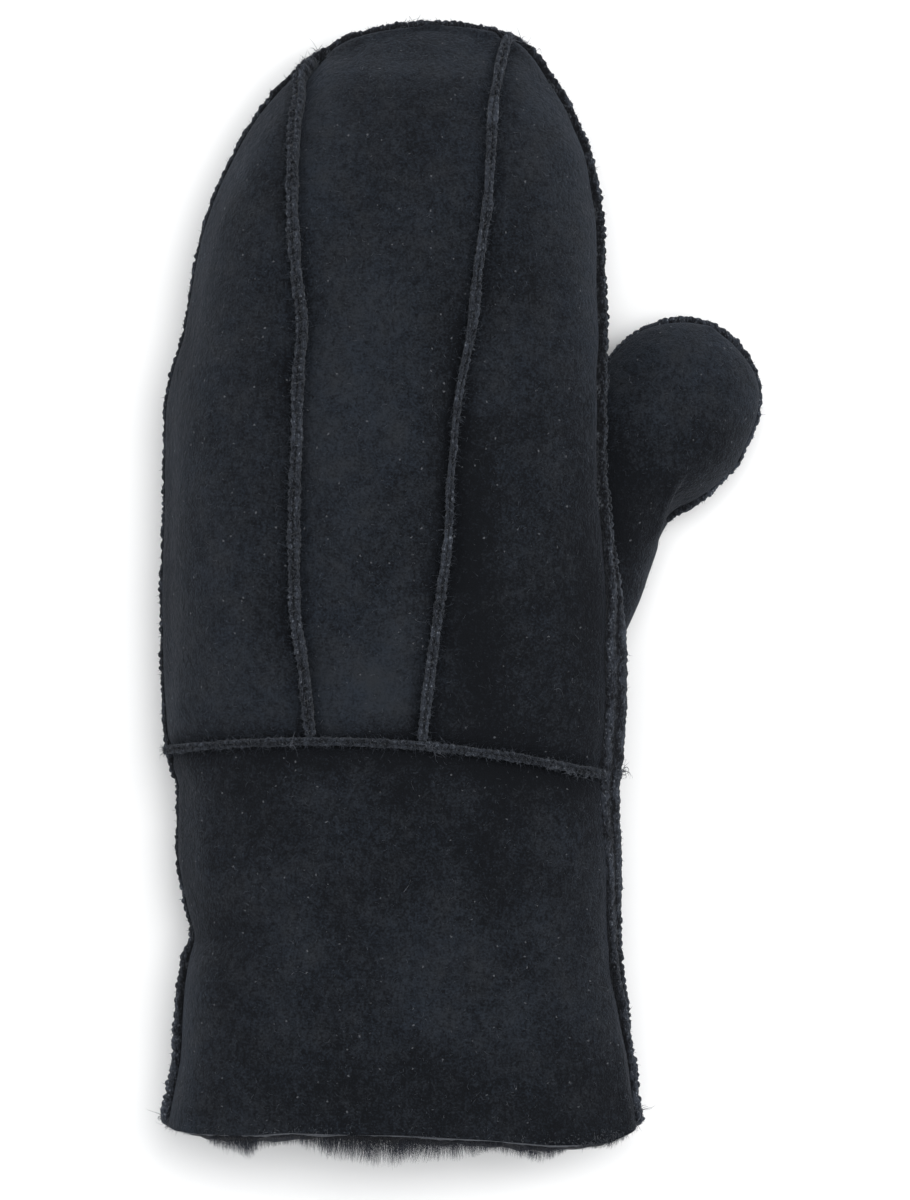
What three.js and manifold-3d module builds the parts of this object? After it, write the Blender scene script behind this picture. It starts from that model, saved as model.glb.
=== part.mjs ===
// A sheepskin mitten for the left hand, suede side out and fleece inside.
// It lies palm down: +X is the thumb's side, +Y runs to the fingertips, +Z is the back of the hand.
// Lengths are millimetres. The tables give each section as shares of the sizes named here.

import * as THREE from "three";
import { mergeVertices } from "three/addons/utils/BufferGeometryUtils.js";
import Module from "manifold-3d";

const wasm = await Module();
wasm.setup();

// The hand and the cuff
const HAND_LENGTH = 191; // wrist seam to fingertip
const CUFF_LENGTH = 94.5; // hem to wrist seam
const MITTEN_WIDTH = 116; // across the palm, without the seam ridges
const MITTEN_DEPTH = 50; // floor to the top of the back
const LEATHER = 2; // thickness of the skin
const SEAM_GAP = 0.3; // clearance between two pieces that are sewn together

// The thumb
const THUMB_LENGTH = 91; // from its root inside the palm to its tip
const THUMB_WIDTH = 41;
const THUMB_DEPTH = 28; // floor to its top
const THUMB_ANGLE = 26; // degrees, from the fingers' direction towards +X
const THUMB_RISE = 28.5; // wrist seam to the thumb's root
const THUMB_OFFSET = 47.5; // middle of the palm to the thumb's root
const THUMB_BASE_SPAN = [25, 122]; // degrees round the thumb, from its inner edge, that its base seam takes

// The seams
const RIDGE_WIDTH = 3.2; // the two cut edges, side by side
const RIDGE_HEIGHT = 2.1; // how far they stand out
const GROOVE_DEPTH = 1.4; // how far the skin is drawn in at a seam
const GROOVE_SPREAD = 5;
const WRIST_ARCH = 5.2; // rise of the wrist seam in the middle of the back
const WRIST_TILT = 3.6; // the same seam is higher at the little finger and lower at the thumb by this much
const HEM_ARCH = 3.4; // how far the hem hangs out in the middle of the back
const STAND_ON_BACK = 0.78; // clearance of a ridge from the skin where that is curved or hollowed
const STAND_ON_PALM = 0.6;
const STAND_ON_THUMB = 0.39;

// The fleece at the mouth of the cuff
const PILE = 7; // how thick the wool stands on the skin
const PILE_CLEARANCE = 0.39; // between the wool and the skin
const PILE_LUMP = 0.8; // how much the wool's surface rises and falls
const LOCK_LENGTH = 5.5; // how far the longest locks reach past the hem

// The corners of the sections: 2 is an ellipse, more is squarer.
const BACK_ROUNDNESS = 2.3;
const PALM_ROUNDNESS = 2.6;
const THUMB_FLATTENING = 1.1; // above 1 the thumb's own weight presses its underside flat

// Sections of the cuff, from the hem to the wrist seam. along: share of the length. little, thumb: share of
// the width from the middle to either edge. back: share of the depth at the crown. seamLittle, seamThumb:
// share of the depth at the two edge seams. under: how far the palm drops below the seams, 1 to the floor.
const CUFF_SECTIONS = table(
  ["along", "little", "thumb", "back", "seamLittle", "seamThumb", "under"],
  [
    [0.000, 0.506, 0.543, 0.84, 0.42, 0.44, 1.12],
    [0.180, 0.478, 0.524, 0.86, 0.42, 0.44, 1.12],
    [0.350, 0.468, 0.507, 0.87, 0.42, 0.44, 1.12],
    [0.430, 0.457, 0.497, 0.86, 0.42, 0.44, 1.12],
    [0.513, 0.437, 0.493, 0.85, 0.42, 0.44, 1.12],
    [0.596, 0.451, 0.491, 0.86, 0.42, 0.44, 1.12],
    [0.735, 0.468, 0.491, 0.88, 0.42, 0.45, 1.12],
    [0.900, 0.468, 0.486, 0.88, 0.42, 0.46, 1.02],
    [0.955, 0.482, 0.486, 0.88, 0.42, 0.47, 0.86],
  ],
);

// Sections of the hand, from the wrist seam to the fingertip, with the same columns.
const HAND_SECTIONS = table(
  ["along", "little", "thumb", "back", "seamLittle", "seamThumb", "under"],
  [
    [0.000, 0.491, 0.489, 0.88, 0.42, 0.47, 0.78],
    [0.030, 0.498, 0.494, 0.90, 0.42, 0.49, 0.84],
    [0.113, 0.502, 0.502, 0.95, 0.42, 0.54, 1.12],
    [0.222, 0.504, 0.496, 0.99, 0.42, 0.58, 1.12],
    [0.304, 0.500, 0.478, 1.00, 0.42, 0.60, 1.12],
    [0.386, 0.497, 0.462, 1.00, 0.42, 0.60, 1.12],
    [0.467, 0.496, 0.459, 0.99, 0.42, 0.60, 1.12],
    [0.521, 0.482, 0.460, 0.98, 0.42, 0.59, 1.12],
    [0.576, 0.455, 0.462, 0.965, 0.42, 0.56, 1.12],
    [0.657, 0.434, 0.457, 0.93, 0.41, 0.50, 1.12],
    [0.739, 0.403, 0.453, 0.88, 0.40, 0.45, 1.12],
    [0.821, 0.347, 0.430, 0.80, 0.38, 0.40, 1.12],
    [0.875, 0.296, 0.397, 0.72, 0.36, 0.37, 1.08],
    [0.929, 0.222, 0.347, 0.61, 0.35, 0.35, 0.85],
    [0.962, 0.153, 0.305, 0.51, 0.345, 0.345, 0.62],
    [0.984, 0.085, 0.260, 0.44, 0.34, 0.34, 0.40],
    [1.000, -0.085, 0.085, 0.34, 0.34, 0.34, 0.00],
  ],
);

// The two seams of the back. across: -1 at the little finger's edge, 1 at the thumb's edge.
const LITTLE_SEAM = table(
  ["along", "across"],
  [
    [0.000, -0.36],
    [0.100, -0.39],
    [0.195, -0.425],
    [0.304, -0.42],
    [0.453, -0.40],
    [0.576, -0.44],
    [0.657, -0.50],
    [0.766, -0.60],
    [0.861, -0.735],
    [0.902, -0.82],
    [0.929, -0.93],
    [0.956, -1.00],
  ],
);
const THUMB_SIDE_SEAM = table(
  ["along", "across"],
  [
    [0.000, 0.135],
    [0.100, 0.165],
    [0.195, 0.21],
    [0.304, 0.275],
    [0.453, 0.33],
    [0.576, 0.37],
    [0.725, 0.417],
    [0.861, 0.475],
    [0.902, 0.53],
    [0.929, 0.60],
    [0.956, 0.70],
    [0.977, 0.85],
    [0.986, 1.00],
  ],
);

// Sections of the thumb, from its root to its tip. along: share of the thumb's length. inner, outer: share of
// its width from its axis to the edge near the palm and to the free edge. low, high, seam: shares of its
// depth. turn: degrees by which the free edge's seam has slipped under towards the palm.
const THUMB_SECTIONS = table(
  ["along", "inner", "outer", "low", "high", "seam", "turn"],
  [
    [0.000, -0.62, 0.05, 0.55, 0.80, 0.66, 45],
    [0.089, -0.66, 0.16, 0.36, 0.92, 0.62, 45],
    [0.210, -0.69, 0.240, 0.20, 1.00, 0.58, 45],
    [0.321, -0.69, 0.232, 0.15, 1.00, 0.55, 40],
    [0.410, -0.69, 0.205, 0.12, 1.00, 0.52, 22],
    [0.465, -0.69, 0.205, 0.08, 1.00, 0.49, 7],
    [0.543, -0.685, 0.250, 0.03, 1.00, 0.47, 0],
    [0.620, -0.670, 0.310, 0.00, 0.99, 0.47, 0],
    [0.698, -0.645, 0.363, 0.00, 0.97, 0.47, 0],
    [0.794, -0.590, 0.356, 0.00, 0.92, 0.47, 0],
    [0.875, -0.530, 0.317, 0.02, 0.84, 0.47, 0],
    [0.930, -0.440, 0.240, 0.08, 0.75, 0.47, 0],
    [0.975, -0.320, 0.100, 0.24, 0.63, 0.47, 0],
    [1.000, -0.140, -0.140, 0.47, 0.47, 0.47, 0],
  ],
);

// Creases and dents in the back. along: share of the whole length, from the hem. across: -1 at the little
// finger's edge, 1 at the thumb's. long, wide: shares of the width. heading: degrees from +X. depth: share of
// the depth.
const DENTS = table(
  ["along", "across", "long", "wide", "heading", "depth"],
  [
    [0.170, -0.86, 0.16, 0.035, 5, 0.045],
    [0.262, -0.80, 0.10, 0.040, -20, 0.030],
    [0.455, -0.18, 0.12, 0.060, 35, 0.016],
    [0.130, 0.35, 0.30, 0.070, 4, 0.014],
    [0.055, -0.30, 0.35, 0.060, -3, 0.016],
  ],
);

// How finely the surfaces are divided.
const HAND_ROWS = 24;
const CUFF_ROWS = 8;
const THUMB_ROWS = 13;
const RIDGE_STEPS = 20;
const WRIST_STEPS = 24;
const COLUMNS = {
  centreBack: 8,
  littleBack: 6,
  thumbSideBack: 7,
  palm: 13,
  cuffBack: 16,
  cuffPalm: 12,
  thumbBack: 11,
  thumbPalm: 10,
  roundBody: 48,
  roundThumb: 32,
};
const CROWDING = 0.7; // how much the columns crowd towards a panel's edges: 0 is evenly spread
const SMALL_STEP = 0.004; // in reach or angle, for working out a direction
const WELD = 1e-4; // corners nearer than this are one

const SUEDE = { color: 0x25282d, roughness: 0.92, metalness: 0 };
const CUT_EDGE = { color: 0x2d3036, roughness: 0.95, metalness: 0 };
const WOOL = { color: 0x202329, roughness: 1, metalness: 0 };

const MITTEN_LENGTH = HAND_LENGTH + CUFF_LENGTH;
const HALF_TURN = Math.PI;
const UP = new THREE.Vector3(0, 0, 1);
const TO_FINGERS = new THREE.Vector3(0, 1, 0);

// Tables and small sums

function table(columns, rows) {
  return rows.map((row) => Object.fromEntries(columns.map((name, i) => [name, row[i]])));
}

const mix = THREE.MathUtils.lerp;
const degrees = THREE.MathUtils.degToRad;
const midway = (a, b) => new THREE.Vector3().lerpVectors(a, b, 0.5);

function spread(first, last, steps) {
  return Array.from({ length: steps + 1 }, (_, i) => mix(first, last, i / steps));
}

// Steps that are denser towards both ends, where the grooves beside the seams are.
function denserAtEnds(first, last, steps) {
  const ease = (share) => mix(share, (1 - Math.cos(HALF_TURN * share)) / 2, CROWDING);
  return spread(0, 1, steps).map((share) => mix(first, last, ease(share)));
}

// A smooth line through a table's rows that never overshoots them. place() turns a row into its abscissa.
function curveThrough(rows, place, name) {
  const points = rows.map((row) => [place(row), row[name]]).sort((a, b) => a[0] - b[0]);
  const slopes = points.slice(1).map((point, i) => (point[1] - points[i][1]) / (point[0] - points[i][0]));
  const tangents = points.map((_, i) => {
    if (i === 0) return slopes[0];
    if (i === slopes.length) return slopes[slopes.length - 1];
    const product = slopes[i - 1] * slopes[i];
    return product <= 0 ? 0 : (2 * product) / (slopes[i - 1] + slopes[i]);
  });
  return (x) => {
    if (x <= points[0][0]) return points[0][1];
    if (x >= points[points.length - 1][0]) return points[points.length - 1][1];
    const i = points.findIndex((point) => point[0] > x) - 1;
    const step = points[i + 1][0] - points[i][0];
    const t = (x - points[i][0]) / step;
    const start = (1 + 2 * t) * (1 - t) ** 2 * points[i][1] + t * (1 - t) ** 2 * step * tangents[i];
    const end = t * t * (3 - 2 * t) * points[i + 1][1] + t * t * (t - 1) * step * tangents[i + 1];
    return start + end;
  };
}

function curves(rows, place) {
  const names = Object.keys(rows[0]).filter((name) => name !== "along");
  const lines = names.map((name) => [name, curveThrough(rows, place, name)]);
  return (x) => Object.fromEntries(lines.map(([name, line]) => [name, line(x)]));
}

// Where a point of a rounded section lies: across is -1 to 1, bulge is 0 at the seams and 1 at the crown.
function roundSection(angle, roundness) {
  const c = Math.cos(angle);
  const s = Math.sin(angle);
  const size = (Math.abs(c) ** roundness + Math.abs(s) ** roundness) ** (1 / roundness);
  return { across: c / size, bulge: Math.abs(s) / size };
}

function angleAcross(across, roundness) {
  const bulge = Math.max(0, 1 - Math.abs(across) ** roundness) ** (1 / roundness);
  return Math.atan2(bulge, across);
}

// The body of the mitten: hand and cuff are one surface. reach is 0 at the fingertip and 1 at the hem, and
// grows as a root, so that the fingertip comes out round.

const reachOf = (fromHem) => Math.sqrt(Math.max(0, 1 - fromHem / MITTEN_LENGTH));
const fromHemOf = (reach) => MITTEN_LENGTH * (1 - reach * reach);
const alongHand = (row) => reachOf(CUFF_LENGTH + row.along * HAND_LENGTH);
const alongCuff = (row) => reachOf(row.along * CUFF_LENGTH);

const WRIST = reachOf(CUFF_LENGTH);
const HEM = 1;
const TIP = 0;

const bodyRows = [
  ...CUFF_SECTIONS.map((row) => ({ ...row, reach: alongCuff(row) })),
  ...HAND_SECTIONS.map((row) => ({ ...row, reach: alongHand(row) })),
];
const bodySection = curves(bodyRows, (row) => row.reach);
const littleSeamAcross = curveThrough(LITTLE_SEAM, alongHand, "across");
const thumbSideSeamAcross = curveThrough(THUMB_SIDE_SEAM, alongHand, "across");
const LITTLE_SEAM_TOP = alongHand(LITTLE_SEAM[LITTLE_SEAM.length - 1]);
const THUMB_SIDE_SEAM_TOP = alongHand(THUMB_SIDE_SEAM[THUMB_SIDE_SEAM.length - 1]);

const SMOOTH_TIP = 0.28; // the reach at which the grooves have their full depth

function groove(distance) {
  return GROOVE_DEPTH * Math.exp(-((distance / GROOVE_SPREAD) ** 2));
}

// How deep the back is drawn in by its seams and dents. It is smooth again at the fingertip.
function hollows(reach, fromHem, across, half) {
  const fade = THREE.MathUtils.smoothstep(reach, THUMB_SIDE_SEAM_TOP, SMOOTH_TIP);
  let depth = 0;
  if (reach < WRIST) {
    depth = Math.max(
      groove((across - littleSeamAcross(reach)) * half),
      groove((across - thumbSideSeamAcross(reach)) * half),
    );
  }
  depth = Math.max(depth, groove(fromHem - CUFF_LENGTH));
  for (const dent of DENTS) {
    const x = (across - dent.across) * half;
    const y = fromHem - dent.along * MITTEN_LENGTH;
    const turn = degrees(dent.heading);
    const onward = (x * Math.cos(turn) + y * Math.sin(turn)) / (dent.long * MITTEN_WIDTH);
    const aside = (y * Math.cos(turn) - x * Math.sin(turn)) / (dent.wide * MITTEN_WIDTH);
    depth += dent.depth * MITTEN_DEPTH * Math.exp(-onward * onward - aside * aside);
  }
  return depth * fade;
}

// The rows bend with the wrist seam and the hem, and run straight across at the fingertip.
function rowShift(fromHem, across, onBack) {
  const arch = onBack ? 1 - across * across : 0;
  const nearWrist =
    fromHem < CUFF_LENGTH ? fromHem / CUFF_LENGTH : ((MITTEN_LENGTH - fromHem) / HAND_LENGTH) ** 2;
  const nearHem = Math.max(0, 1 - fromHem / CUFF_LENGTH);
  return nearWrist * (WRIST_ARCH * arch - WRIST_TILT * across) - nearHem * HEM_ARCH * arch;
}

// A point of the body, or of the same form shrunk by inset on every side.
function bodyPoint(reach, angle, inset = 0) {
  const section = bodySection(reach);
  const fromHem = fromHemOf(reach);
  const onBack = Math.sin(angle) >= 0;
  const { across, bulge } = roundSection(angle, onBack ? BACK_ROUNDNESS : PALM_ROUNDNESS);
  const half = ((section.little + section.thumb) / 2) * MITTEN_WIDTH - inset;
  const middle = ((section.thumb - section.little) / 2) * MITTEN_WIDTH;
  const seam = mix(section.seamLittle, section.seamThumb, (across + 1) / 2) * MITTEN_DEPTH;
  const hollow = onBack ? hollows(reach, fromHem, across, half) : 0;
  const rise = section.back * MITTEN_DEPTH - seam - inset - hollow;
  const drop = section.under * seam - inset;
  const height = onBack ? seam + rise * bulge : Math.max(inset, seam - drop * bulge);
  return new THREE.Vector3(
    middle + half * across,
    fromHem + rowShift(fromHem, across, onBack),
    height,
  );
}

const BODY = { point: bodyPoint, tip: TO_FINGERS };

// The thumb, laid out in its own direction and then turned into the mitten's.

const thumbReach = (row) => Math.sqrt(1 - row.along);
const thumbSection = curves(THUMB_SECTIONS, thumbReach);
const THUMB_AXIS = new THREE.Vector3(Math.sin(degrees(THUMB_ANGLE)), Math.cos(degrees(THUMB_ANGLE)), 0);
const THUMB_ACROSS = new THREE.Vector3().crossVectors(THUMB_AXIS, UP);
const THUMB_ROOT = new THREE.Vector3(THUMB_OFFSET, CUFF_LENGTH + THUMB_RISE, 0);

function thumbPoint(reach, angle) {
  const section = thumbSection(reach);
  const above = Math.sin(angle) >= 0;
  const { across, bulge } = roundSection(angle, above ? BACK_ROUNDNESS : PALM_ROUNDNESS);
  const half = (section.outer - section.inner) / 2;
  const middle = (section.outer + section.inner) / 2;
  const drop = (section.seam - section.low) * THUMB_FLATTENING * bulge;
  const height = above
    ? mix(section.seam, section.high, bulge)
    : Math.max(section.low, section.seam - drop);
  return THUMB_ROOT.clone()
    .addScaledVector(THUMB_AXIS, THUMB_LENGTH * (1 - reach * reach))
    .addScaledVector(THUMB_ACROSS, THUMB_WIDTH * (middle + half * across))
    .addScaledVector(UP, THUMB_DEPTH * height);
}

const THUMB = { point: thumbPoint, tip: THUMB_AXIS };

// Meshes

// The direction straight out of the skin. At the very tip it is the tip's own.
function outward(surface, reach, angle) {
  const step = SMALL_STEP;
  if (reach < 5 * step) return surface.tip.clone();
  const around = surface.point(reach, angle + step).sub(surface.point(reach, angle - step));
  const back = surface.point(reach + step, angle).sub(surface.point(reach - step, angle));
  return around.cross(back).normalize();
}

function offsetPoint(surface, reach, angle, distance) {
  return surface.point(reach, angle).addScaledVector(outward(surface, reach, angle), distance);
}

// One closed mesh from its triangles. Those that have shrunk to a line are dropped.
function closedMesh(triangles) {
  const positions = triangles.flatMap((corners) => corners.flatMap((corner) => corner.toArray()));
  let geometry = new THREE.BufferGeometry();
  geometry.setAttribute("position", new THREE.Float32BufferAttribute(positions, 3));
  geometry = mergeVertices(geometry, WELD);
  const index = [...geometry.index.array];
  const kept = [];
  for (let i = 0; i < index.length; i += 3) {
    const [a, b, c] = index.slice(i, i + 3);
    if (a !== b && b !== c && c !== a) kept.push(a, b, c);
  }
  geometry.setIndex(kept);
  if (volumeOf(geometry) < 0) geometry.setIndex(kept.reverse());
  return geometry;
}

function volumeOf(geometry) {
  const at = geometry.attributes.position;
  const index = geometry.index.array;
  const corner = (i) => new THREE.Vector3().fromBufferAttribute(at, index[i]);
  let volume = 0;
  for (let i = 0; i < index.length; i += 3) {
    volume += corner(i).dot(corner(i + 1).cross(corner(i + 2))) / 6;
  }
  return volume;
}

function quads(first, second, triangles) {
  for (let j = 0; j + 1 < first.length; j += 1) {
    triangles.push([first[j], second[j], second[j + 1]], [first[j], second[j + 1], first[j + 1]]);
  }
}

// A shell between two grids of the same size, closed along all four sides.
function shell(outside, inside) {
  const triangles = [];
  const sides = (grid) => [grid.map((row) => row[0]), grid.map((row) => row[row.length - 1])];
  for (let i = 0; i + 1 < outside.length; i += 1) {
    quads(outside[i], outside[i + 1], triangles);
    quads(inside[i + 1], inside[i], triangles);
  }
  quads(inside[0], outside[0], triangles);
  quads(outside[outside.length - 1], inside[inside.length - 1], triangles);
  const [outsideFirst, outsideLast] = sides(outside);
  const [insideFirst, insideLast] = sides(inside);
  quads(outsideFirst, insideFirst, triangles);
  quads(insideLast, outsideLast, triangles);
  return closedMesh(triangles);
}

// A stack of closed loops, with both ends covered.
function stack(loops) {
  const triangles = [];
  const closed = loops.map((loop) => [...loop, loop[0]]);
  for (let i = 0; i + 1 < closed.length; i += 1) quads(closed[i], closed[i + 1], triangles);
  const cover = (loop, flip) => {
    const centre = loop.reduce((sum, point) => sum.add(point), new THREE.Vector3());
    centre.divideScalar(loop.length);
    loop.forEach((point, i) => {
      const next = loop[(i + 1) % loop.length];
      triangles.push(flip ? [centre, next, point] : [centre, point, next]);
    });
  };
  cover(loops[0], false);
  cover(loops[loops.length - 1], true);
  return closedMesh(triangles);
}

// A leather panel between two edges, given as angles at each row. rise lifts the whole panel.
function panel(surface, rows, firstEdge, lastEdge, columns, rise = 0) {
  const grid = (depth) =>
    rows.map((reach) =>
      denserAtEnds(firstEdge(reach), lastEdge(reach), columns).map((angle) =>
        offsetPoint(surface, reach, angle, -depth).addScaledVector(UP, rise),
      ),
    );
  return shell(grid(0), grid(LEATHER));
}

// The angle that lies a distance further round the section than another.
function roundBy(surface, reach, angle, distance) {
  const step = surface.point(reach, angle + SMALL_STEP).distanceTo(surface.point(reach, angle));
  return angle + (distance * SMALL_STEP) / step;
}

// A surface filled solid, grown by a distance, for cutting what meets it.
function filled(surface, rows, columns, distance) {
  const loops = spread(1, TIP, rows).map((reach) =>
    spread(0, 2 * HALF_TURN, columns)
      .slice(0, -1)
      .map((angle) => offsetPoint(surface, reach, angle, distance)),
  );
  return stack(loops);
}

// The two cut edges of a seam stand side by side in one ridge. across: share of its width. out: share of its
// height.
const RIDGE_SECTION = table(
  ["across", "out"],
  [
    [-0.42, 0.0],
    [-0.50, 0.6],
    [-0.30, 1.0],
    [0.30, 1.0],
    [0.50, 0.6],
    [0.42, 0.0],
  ],
);

// A ridge along a list of points, each with its outward direction. stand: its clearance from the skin.
// lean tips its crest sideways. grow makes it that much fatter all round, for cutting what meets it.
function ridge(path, { stand = SEAM_GAP, lean = () => 0, grow = 0 } = {}) {
  const width = RIDGE_WIDTH + 2 * grow;
  const loops = path.map(({ at, out, share }, i) => {
    const onward = path[Math.min(i + 1, path.length - 1)].at.clone().sub(path[Math.max(i - 1, 0)].at);
    const side = new THREE.Vector3().crossVectors(onward, out).normalize();
    return RIDGE_SECTION.map(({ across, out: height }) => {
      const rise = height * (RIDGE_HEIGHT + grow) + stand - (height === 0 ? grow : 0);
      return at
        .clone()
        .addScaledVector(out, rise)
        .addScaledVector(side, across * width + lean(share) * height * RIDGE_HEIGHT);
    });
  });
  return stack(loops);
}

function solidOf(geometry) {
  const mesh = new wasm.Mesh({
    numProp: 3,
    vertProperties: Float32Array.from(geometry.attributes.position.array),
    triVerts: Uint32Array.from(geometry.index.array),
  });
  return new wasm.Manifold(mesh);
}

function largestPiece(solid) {
  return solid.decompose().sort((a, b) => b.volume() - a.volume())[0];
}

function geometryOf(solid) {
  const mesh = solid.getMesh();
  const geometry = new THREE.BufferGeometry();
  geometry.setAttribute("position", new THREE.BufferAttribute(mesh.vertProperties.slice(), 3));
  geometry.setIndex([...mesh.triVerts]);
  return geometry;
}

function cut(geometry, ...tools) {
  const solid = tools.reduce((rest, tool) => rest.subtract(solidOf(tool)), solidOf(geometry));
  return geometryOf(largestPiece(solid));
}

// The seams' paths

function pathOn(surface, places, rise = 0) {
  return places.map(([reach, angle], i) => ({
    at: surface.point(reach, angle).addScaledVector(UP, rise),
    out: outward(surface, reach, angle),
    share: i / (places.length - 1),
  }));
}

// Along the edge of the body: up the little finger's side, round the tip and down the thumb's side.
// The two lips point straight outwards there, level with the floor.
function edgePath(places) {
  const path = pathOn(BODY, places, SEAM_GAP / 2);
  return path.map(({ at, share }, i) => {
    const onward = path[Math.min(i + 1, path.length - 1)].at.clone().sub(path[Math.max(i - 1, 0)].at);
    return { at, out: UP.clone().cross(onward).normalize(), share };
  });
}

const edgePlaces = [
  ...spread(HEM, TIP, 2 * RIDGE_STEPS).map((reach) => [reach, HALF_TURN]),
  ...spread(TIP, HEM, 2 * RIDGE_STEPS)
    .slice(1)
    .map((reach) => [reach, 0]),
];
const edge = edgePath(edgePlaces);

// Between the thumb and the wrist the ridge's crest tips up and shows its side from above. at, over: shares
// of the whole seam, which ends at the hem on the thumb's side.
const EDGE_LEAN = { everywhere: 0.1, more: 0.75, at: 0.885, over: 0.05 };

function edgeLean(share) {
  const near = Math.exp(-(((share - EDGE_LEAN.at) / EDGE_LEAN.over) ** 2));
  return -EDGE_LEAN.everywhere - EDGE_LEAN.more * near;
}

const edgeSeam = ridge(edge, { lean: edgeLean });
const edgeClearance = ridge(edge, { lean: edgeLean, grow: SEAM_GAP });

// How far each section's angle runs for a seam of the back.
const littleSeamAngle = (reach) => angleAcross(littleSeamAcross(reach), BACK_ROUNDNESS);
const thumbSideSeamAngle = (reach) => angleAcross(thumbSideSeamAcross(reach), BACK_ROUNDNESS);

function backSeam(seamAngle, top) {
  const places = spread(WRIST, top, RIDGE_STEPS).map((reach) => [reach, seamAngle(reach)]);
  return pathOn(BODY, places);
}

function wristPath(first, last) {
  return pathOn(BODY, denserAtEnds(first, last, WRIST_STEPS).map((angle) => [WRIST, angle]));
}

const ON_BACK = { stand: STAND_ON_BACK };
const wristBack = wristPath(HALF_TURN, 0);
const wristClearance = ridge(wristBack, { ...ON_BACK, grow: SEAM_GAP });

// Panels of the body

const SIDE_PANEL_END = 0.985; // the pointed end of a side panel, as a share of its seam, is cut blunt
const littleEnd = mix(WRIST, LITTLE_SEAM_TOP, SIDE_PANEL_END);
const thumbSideEnd = mix(WRIST, THUMB_SIDE_SEAM_TOP, SIDE_PANEL_END);

// All panels of the hand share these rows, so that their edges match, with one row at each panel's own end.
function handRows(top = 0) {
  const wrist = reachOf(CUFF_LENGTH + SEAM_GAP / 2);
  const ends = [littleEnd, thumbSideEnd];
  const apart = (wrist - TIP) / (4 * HAND_ROWS);
  const clear = (row) => ends.every((end) => Math.abs(row - end) > apart);
  const even = spread(wrist, TIP, HAND_ROWS).filter(clear);
  return [...even, ...ends].filter((row) => row >= top).sort((a, b) => b - a);
}

const cuffRows = spread(HEM, reachOf(CUFF_LENGTH - SEAM_GAP / 2), CUFF_ROWS);

function centreBackPanel() {
  const first = (reach) =>
    reach <= THUMB_SIDE_SEAM_TOP ? 0 : roundBy(BODY, reach, thumbSideSeamAngle(reach), SEAM_GAP / 2);
  const last = (reach) =>
    reach <= LITTLE_SEAM_TOP ? HALF_TURN : roundBy(BODY, reach, littleSeamAngle(reach), -SEAM_GAP / 2);
  return panel(BODY, handRows(), first, last, COLUMNS.centreBack, SEAM_GAP);
}

function littleBackPanel() {
  const first = (reach) => roundBy(BODY, reach, littleSeamAngle(reach), SEAM_GAP / 2);
  return panel(BODY, handRows(littleEnd), first, () => HALF_TURN, COLUMNS.littleBack, SEAM_GAP);
}

function thumbSideBackPanel() {
  const last = (reach) => roundBy(BODY, reach, thumbSideSeamAngle(reach), -SEAM_GAP / 2);
  return panel(BODY, handRows(thumbSideEnd), () => 0, last, COLUMNS.thumbSideBack, SEAM_GAP);
}

function palmPanel() {
  const whole = panel(BODY, handRows(), () => HALF_TURN, () => 2 * HALF_TURN, COLUMNS.palm);
  return cut(whole, filled(THUMB, THUMB_ROWS, COLUMNS.thumbBack + COLUMNS.thumbPalm, -LEATHER));
}

function cuffBackPanel() {
  return panel(BODY, cuffRows, () => 0, () => HALF_TURN, COLUMNS.cuffBack, SEAM_GAP);
}

function cuffPalmPanel() {
  return panel(BODY, cuffRows, () => HALF_TURN, () => 2 * HALF_TURN, COLUMNS.cuffPalm);
}

// The thumb is two leaves, sewn at its free edge and let into the palm.

const bodyClearance = filled(BODY, 2 * HAND_ROWS, COLUMNS.roundBody, SEAM_GAP);
const thumbRows = spread(1, TIP, THUMB_ROWS);
const thumbEdge = (reach) => -degrees(thumbSection(reach).turn);

// Where the seam has slipped under, the leaves keep clear of each other round the section.
function thumbLeafEdge(reach, side) {
  const slip = Math.sin(-thumbEdge(reach));
  return slip > 0 ? roundBy(THUMB, reach, thumbEdge(reach), side * slip * STAND_ON_THUMB) : 0;
}

function thumbBackPanel() {
  const first = (reach) => thumbLeafEdge(reach, 1);
  const whole = panel(THUMB, thumbRows, first, () => HALF_TURN, COLUMNS.thumbBack, SEAM_GAP);
  return cut(whole, bodyClearance, edgeClearance);
}

function thumbPalmPanel() {
  const last = (reach) => thumbLeafEdge(reach, -1) + 2 * HALF_TURN;
  const whole = panel(THUMB, thumbRows, () => HALF_TURN, last, COLUMNS.thumbPalm);
  return cut(whole, bodyClearance, edgeClearance);
}

const thumbEdgePath = pathOn(
  THUMB,
  [
    ...spread(1, TIP, RIDGE_STEPS).map((reach) => [reach, HALF_TURN]),
    ...spread(TIP, 1, RIDGE_STEPS)
      .slice(1)
      .map((reach) => [reach, thumbEdge(reach)]),
  ],
  SEAM_GAP / 2,
);

const ON_THUMB = { stand: STAND_ON_THUMB };

function thumbEdgeSeam() {
  return cut(ridge(thumbEdgePath, ON_THUMB), bodyClearance, edgeClearance);
}

// Whether the body's form holds a point. The rows are bent, so the point's own row is found in a few rounds.
function bodyHolds(point) {
  const rounds = 4;
  let fromHem = point.y;
  let across = 0;
  let section = bodySection(reachOf(fromHem));
  for (let i = 0; i < rounds; i += 1) {
    const middle = ((section.thumb - section.little) / 2) * MITTEN_WIDTH;
    const half = ((section.little + section.thumb) / 2) * MITTEN_WIDTH;
    across = (point.x - middle) / half;
    if (Math.abs(across) >= 1) return false;
    fromHem = point.y - rowShift(fromHem, across, false);
    section = bodySection(reachOf(fromHem));
  }
  const angle = angleAcross(across, PALM_ROUNDNESS);
  return bodyPoint(reachOf(fromHem), -angle).z < point.z;
}

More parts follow.
